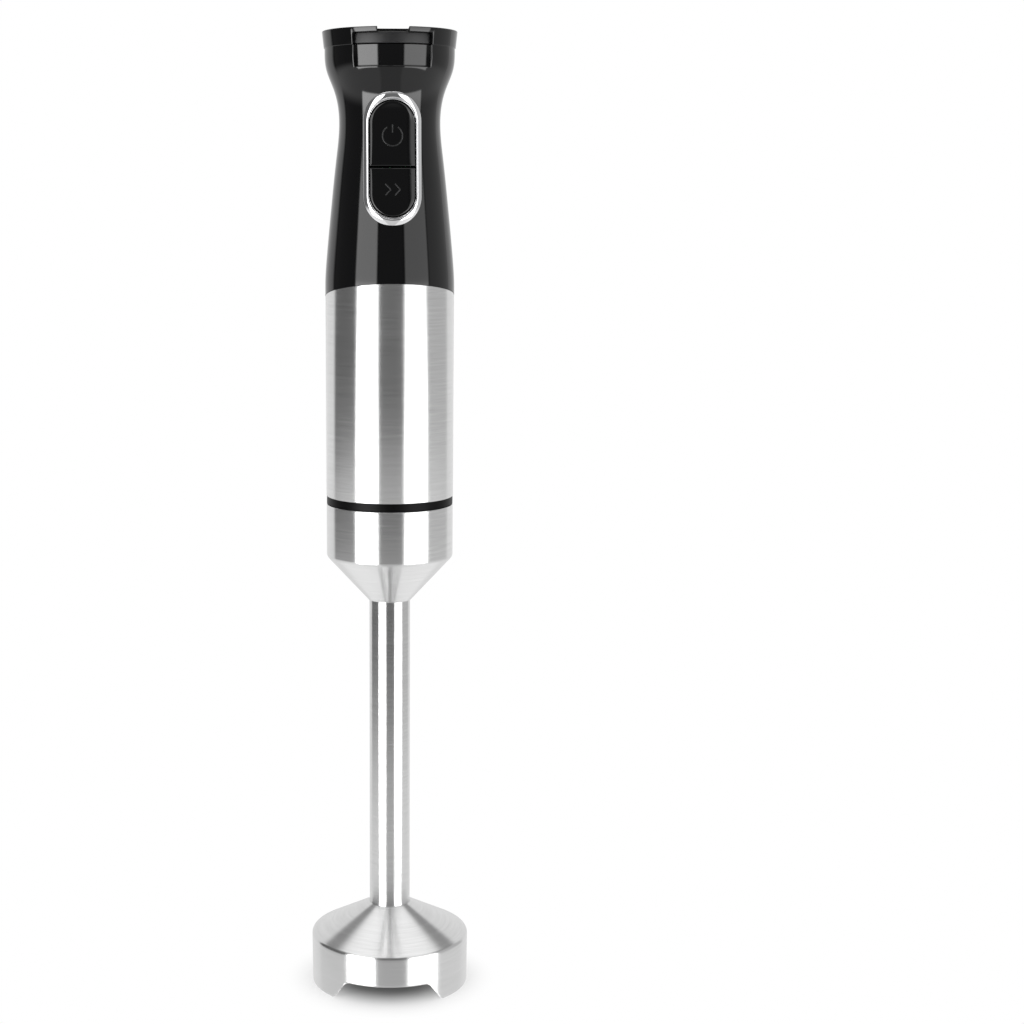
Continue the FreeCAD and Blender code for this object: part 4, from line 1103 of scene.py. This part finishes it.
class METAL_OT_sleeve(BuildOperator, bpy.types.Operator):
    """Brushed steel sleeve with its slanted top"""
    bl_idname = "hand_blender.sleeve"
    bl_label = "Motor sleeve"

    def build(self, scene):
        inner = BODY_RADIUS - 0.8 * MM
        foot, top = SLEEVE_LOW.z, SLEEVE_HIGH.z + 4 * MM
        outline = ring_outline([(inner, foot), (BODY_RADIUS, foot), (BODY_RADIUS, top), (inner, top)],
                               [0.1 * MM, 0.25 * MM, 0.1 * MM, 0.1 * MM], 3)
        bm = turned(outline, METAL_STEPS)
        cut = cut_at_seam(bm, scene.hand_blender_handle.seam_slant, clear_outer=True)
        rims = [item for item in cut["geom_cut"] if isinstance(item, bmesh.types.BMEdge)]
        bmesh.ops.bridge_loops(bm, edges=rims)
        bevel(bm, rims, 0.18 * MM, 2)
        settle(bm)
        finish_piece(to_object(bm, "sleeve"), "motor_unit", ["motor_sleeve"], "brushed_steel")


class METAL_OT_collar(BuildOperator, bpy.types.Operator):
    """Steel collar of the leg with its cone"""
    bl_idname = "hand_blender.collar"
    bl_label = "Leg collar"

    def build(self, scene):
        sizes = scene.hand_blender_leg
        outer, foot, top = COLLAR_HIGH.x, COLLAR_LOW.z, COLLAR_HIGH.z
        wall = sizes.metal_wall
        neck = TUBE_HIGH.x + sizes.neck_step
        bore = TUBE_HIGH.x + 0.02 * MM
        turn_level = foot + 19 * MM
        outline = ring_outline([(bore, foot), (neck, foot), (outer, turn_level), (outer, top),
                                (outer - wall, top), (outer - wall, turn_level + 0.6 * MM),
                                (bore, foot + wall * 1.4)],
                               [0.05 * MM, 0.3 * MM, sizes.collar_edge, 0.25 * MM, 0.1 * MM, 1 * MM,
                                0.1 * MM], 8)
        finish_piece(to_object(turned(outline, METAL_STEPS), "collar"), "blending_leg", ["leg_collar"],
                     "brushed_steel")


class METAL_OT_tube(BuildOperator, bpy.types.Operator):
    """Steel tube between collar and bell"""
    bl_idname = "hand_blender.tube"
    bl_label = "Leg tube"

    def build(self, scene):
        outer = TUBE_HIGH.x
        inner = outer - 0.8 * MM
        outline = ring_outline([(inner, TUBE_LOW.z), (outer, TUBE_LOW.z), (outer, TUBE_HIGH.z),
                                (inner, TUBE_HIGH.z)], [0.1 * MM] * 4, 2)
        finish_piece(to_object(turned(outline, 192), "tube"), "blending_leg", ["leg_tube"], "brushed_steel")


class METAL_OT_bell(BuildOperator, bpy.types.Operator):
    """Bell guard with its shoulder and its two notches"""
    bl_idname = "hand_blender.bell"
    bl_label = "Bell guard"

    def build(self, scene):
        sizes = scene.hand_blender_leg
        shoulder = sizes.bell_radius
        foot = shoulder - sizes.bell_foot_inset
        level = sizes.bell_shoulder
        top = BELL_TOP
        wall = sizes.bell_wall
        bore = TUBE_HIGH.x + 0.02 * MM
        neck = TUBE_HIGH.x + 0.15 * MM
        hub = bore + 1.9 * MM
        hub_foot = top - 13.7 * MM
        slope = (top - level) / (shoulder - neck)
        under = top - (hub - neck) * slope - wall * 1.1
        rows = [(foot + (shoulder - foot) * k / 16, level * k / 16) for k in range(1, 15)]
        inner_rows = [(radius - wall, height) for radius, height in reversed(rows[:-1])]
        points = [(foot - wall, 0), (foot, 0), *rows, (shoulder, level), (neck, top), (bore, top),
                  (bore, hub_foot), (hub, hub_foot), (hub, under), (shoulder - wall, level - wall * 0.6),
                  *inner_rows]
        radii = [0.2 * MM, 0.3 * MM, *[0] * len(rows), sizes.bell_edge, 0.06 * MM, 0.02 * MM, 0.1 * MM,
                 0.3 * MM, 1.2 * MM, 1 * MM, *[0] * len(inner_rows)]
        bell = to_object(turned(ring_outline(points, radii, 6), METAL_STEPS), "bell")
        low = -0.001 * MM
        reach = 45 * MM
        notch = rounded([(-reach, -2 * MM), (-reach, low), (-sizes.notch_foot, low),
                         (-sizes.notch_top, sizes.notch_height), (sizes.notch_top, sizes.notch_height),
                         (sizes.notch_foot, low), (reach, low), (reach, -2 * MM)],
                        [0, 2.4 * MM, 3.4 * MM, 3.4 * MM, 2.4 * MM, 0], 8)
        cutter = block_of([(x, -reach, z) for x, z in notch], (0, 2 * reach, 0))
        turn = Matrix.Rotation(sizes.notch_clocking, 3, "Z")
        bmesh.ops.rotate(cutter, cent=(0, 0, 0), matrix=turn, verts=cutter.verts)
        carve(bell, [cutter])
        soften(bell, 0.16 * MM, 50)
        finish_piece(bell, "blending_leg", ["bell_guard"], "brushed_steel")


class LEG_OT_blade(BuildOperator, bpy.types.Operator):
    """Two-winged blade, one wing raised and one lowered, with ground edges"""
    bl_idname = "hand_blender.blade"
    bl_label = "Blade"

    def build(self, scene):
        bm = bmesh.new()
        bmesh.ops.create_grid(bm, x_segments=72, y_segments=14, size=0.5)
        span = (BLADE_HIGH.x - BLADE_LOW.x) * 0.985
        thick, bore = 1.5 * MM, 3.0 * MM
        middle = (BLADE_LOW.z + BLADE_HIGH.z) / 2
        for vert in bm.verts:
            along, across = vert.co.x * 2, vert.co.y * 2
            out = abs(along)
            side = 1 if along > 0 else -1
            half_width = (4.9 - 1.6 * out ** 2 - 2.2 * max(out - 0.82, 0) / 0.18) * MM
            sweep = side * 2.4 * MM * out ** 2
            lift = side * 3.0 * MM * max(out - 0.25, 0) ** 1.2
            vert.co = Vector((along * span / 2, across * half_width + sweep, middle + lift))
        bmesh.ops.solidify(bm, geom=bm.faces[:], thickness=thick)
        settle(bm)
        blade = to_object(bm, "cutting_blade")
        soften(blade, 0.35 * MM, 50)
        bm = bmesh.new()
        bm.from_mesh(blade.data)
        punch(bm, lambda co: co.xy.length < bore, lambda co: Vector((*(co.xy.normalized() * bore), co.z)))
        bmesh.ops.bridge_loops(bm, edges=[edge for edge in bm.edges if edge.is_boundary])
        settle(bm)
        bm.to_mesh(blade.data)
        bm.free()
        finish_piece(blade, "blade_shaft", ["blade"], "blade_steel")


class HANDLE_OT_inlet(BuildOperator, bpy.types.Operator):
    """Rubber bush in the cord inlet"""
    bl_idname = "hand_blender.inlet"
    bl_label = "Cord inlet"

    def build(self, scene):
        low, high = GLAND_LOW.y, GLAND_HIGH.y
        outer, lip, bore = 5.35 * MM, GLAND_HIGH.x, 3.6 * MM
        outline = ring_outline([(bore, low), (lip, low), (lip, low + 1.3 * MM), (outer, low + 1.3 * MM),
                                (outer, high), (bore, high)],
                               [0.1 * MM, 0.4 * MM, 0.4 * MM, 0.1 * MM, 0.8 * MM, 0.7 * MM], 5)
        bm = turned(outline, 96)
        bmesh.ops.transform(bm, matrix=towards_back(0, GLAND_LEVEL), verts=bm.verts)
        finish_piece(to_object(bm, "inlet_bush"), "motor_unit", ["cord_gland"], "soft_rubber")


class INSIDE_OT_finishes(BuildOperator, bpy.types.Operator):
    """Finishes of the pieces that keep the frame's own shapes"""
    bl_idname = "hand_blender.inner_finishes"
    bl_label = "Inner finishes"

    def build(self, scene):
        slots = {part["node"]: part["material_slot"] for part in frame["record"]["subparts"]}
        for name, node in NODES.items():
            material = finish_for(slots[name])
            node.data.materials.clear()
            node.data.materials.append(material)


class STUDIO_OT_stage(BuildOperator, bpy.types.Operator):
    """Floor, surroundings and camera"""
    bl_idname = "hand_blender.stage"
    bl_label = "Stage"

    def build(self, scene):
        self.floor()
        self.surroundings(scene)
        self.camera(scene)
        scene.view_settings.view_transform = "Standard"

    def floor(self):
        """A pale round floor with a painted shadow: its colour is darker under the object, and it fades into
        the white around it.
        """
        bm = bmesh.new()
        bmesh.ops.create_circle(bm, cap_ends=True, segments=96, radius=2.5)
        floor = to_object(bm, "floor")
        s = Shader.material("pale_floor_with_painted_shadow")
        x, y, z = s.split(s.object_point())
        away = s.from_axis(x, y)
        # under is the tone of the painted shadow: the floor's colour is painted dark close under the object
        # and climbs to the open floor's tone further out
        under, open_floor = 0.22, 0.93
        tone = under + away.between(0.012, 0.034) * (open_floor - under)
        matt = s.node("ShaderNodeBsdfPrincipled", None, Roughness=0.9,
                      **{"Base Color": s.join(tone, tone, tone)})
        glow = s.node("ShaderNodeEmission", None, (1, 1, 1, 1), 1.0)
        mixed = s.node("ShaderNodeMixShader", None, away.between(0.018, 0.047), matt, glow)
        s.node("ShaderNodeOutputMaterial", None, mixed)
        floor.data.materials.append(s.made)
        floor.visible_glossy = False

    def surroundings(self, scene):
        """White for the view, and soft boxes, grey panels and dark gaps for everything that is lit."""
        studio = scene.hand_blender_studio
        world = bpy.data.worlds.new("studio")
        world.use_nodes = True
        scene.world = world
        s = Shader(world.node_tree)
        x, y, z = s.split(s.node("ShaderNodeTexCoord", out=0))
        turn = s.node("ShaderNodeMath", {"operation": "ARCTAN2"}, x, y * -1.0) * (180 / math.pi)

        def band(low, high, soft=2.5):
            """1 between two bearings from the front, in degrees, and 0 outside them."""
            return turn.between(low - soft, low + soft) * (1.0 - turn.between(high - soft, high + soft))

        hot = 1.0 + studio.low_glow * (1.0 - z.between(-0.04, 0.05))
        below_ceiling = 1.0 - z.between(0.56, 0.64)
        left_box = band(-66, -26, 2) * studio.key_light
        right_box = band(24.5, 70, 2) * studio.fill_light
        boxes = (left_box + right_box) * hot * z.between(-0.46, -0.42) * below_ceiling
        panel = band(72, 122) * 0.50
        back = ((1.0 - turn.between(-128, -118)) + turn.between(118, 128)) * 0.80
        front = band(-23, 22, 3)
        shade = band(-118, -66) * 0.10
        low = 1.0 - z.between(-0.37, -0.14)
        walls = (panel + back + front * 0.11 + shade) * (1.0 - low) * below_ceiling
        table = low * (0.80 - front * 0.24)
        floor = (1.0 - z.between(-0.72, -0.50)) * y.between(-0.3, 0.1) * 0.20
        gap = x.between(-0.10, -0.04) * (1.0 - x.between(0.02, 0.08))
        overhead = z.between(0.74, 0.84) * (1.0 - gap * 0.75) * studio.top_light
        ceiling = z.between(0.5, 0.7) * 0.28
        dimmest = 0.03
        level = boxes + walls + table + floor + overhead + ceiling + dimmest
        lit = s.node("ShaderNodeBackground", None, s.join(level, level, level), 1.0)
        seen = s.node("ShaderNodeBackground", None, (1, 1, 1, 1), 1.0)
        camera_ray = s.node("ShaderNodeLightPath")
        mixed = s.node("ShaderNodeMixShader", None, camera_ray, lit, seen)
        s.node("ShaderNodeOutputWorld", None, mixed)

    def camera(self, scene):
        """The camera at its distance and heading, looking slightly down."""
        studio = scene.hand_blender_studio
        data = bpy.data.cameras.new("camera")
        data.lens = studio.lens
        data.sensor_width = 36
        data.shift_x = studio.shift
        data.clip_end = 20
        camera = bpy.data.objects.new("camera", data)
        reach, turn = studio.distance, studio.heading
        camera.location = (reach * math.sin(turn), -reach * math.cos(turn), studio.height)
        camera.rotation_euler = (math.pi / 2 - studio.pitch, 0, turn)
        scene.collection.objects.link(camera)
        scene.camera = camera


OPERATORS = (HANDLE_OT_front_shell, HANDLE_OT_rear_shell, HANDLE_OT_cap, HANDLE_OT_dial, HANDLE_OT_inlet,
             KEYS_OT_bezel, KEYS_OT_keys, METAL_OT_sleeve, METAL_OT_collar, METAL_OT_tube, METAL_OT_bell,
             LEG_OT_blade, INSIDE_OT_finishes, STUDIO_OT_stage)


class VIEW3D_PT_hand_blender(bpy.types.Panel):
    """Lists the sizes, the finishes and the building steps"""
    bl_label = "Hand blender"
    bl_idname = "VIEW3D_PT_hand_blender"
    bl_space_type = "VIEW_3D"
    bl_region_type = "UI"
    bl_category = "Hand blender"

    def draw(self, context):
        for name, group in SETTINGS.items():
            box = self.layout.box()
            settings = getattr(context.scene, name)
            for prop in group.__annotations__:
                box.prop(settings, prop)
        for operator in OPERATORS:
            self.layout.operator(operator.bl_idname)


CLASSES = (*SETTINGS.values(), *OPERATORS, VIEW3D_PT_hand_blender)


def register():
    for item in CLASSES:
        bpy.utils.register_class(item)
    for name, group in SETTINGS.items():
        setattr(bpy.types.Scene, name, bpy.props.PointerProperty(type=group))


def unregister():
    for name in SETTINGS:
        delattr(bpy.types.Scene, name)
    for item in reversed(CLASSES):
        bpy.utils.unregister_class(item)


def main():
    register()
    for operator in OPERATORS:
        group, name = operator.bl_idname.split(".")
        getattr(getattr(bpy.ops, group), name)()


if __name__ == "__main__":
    main()
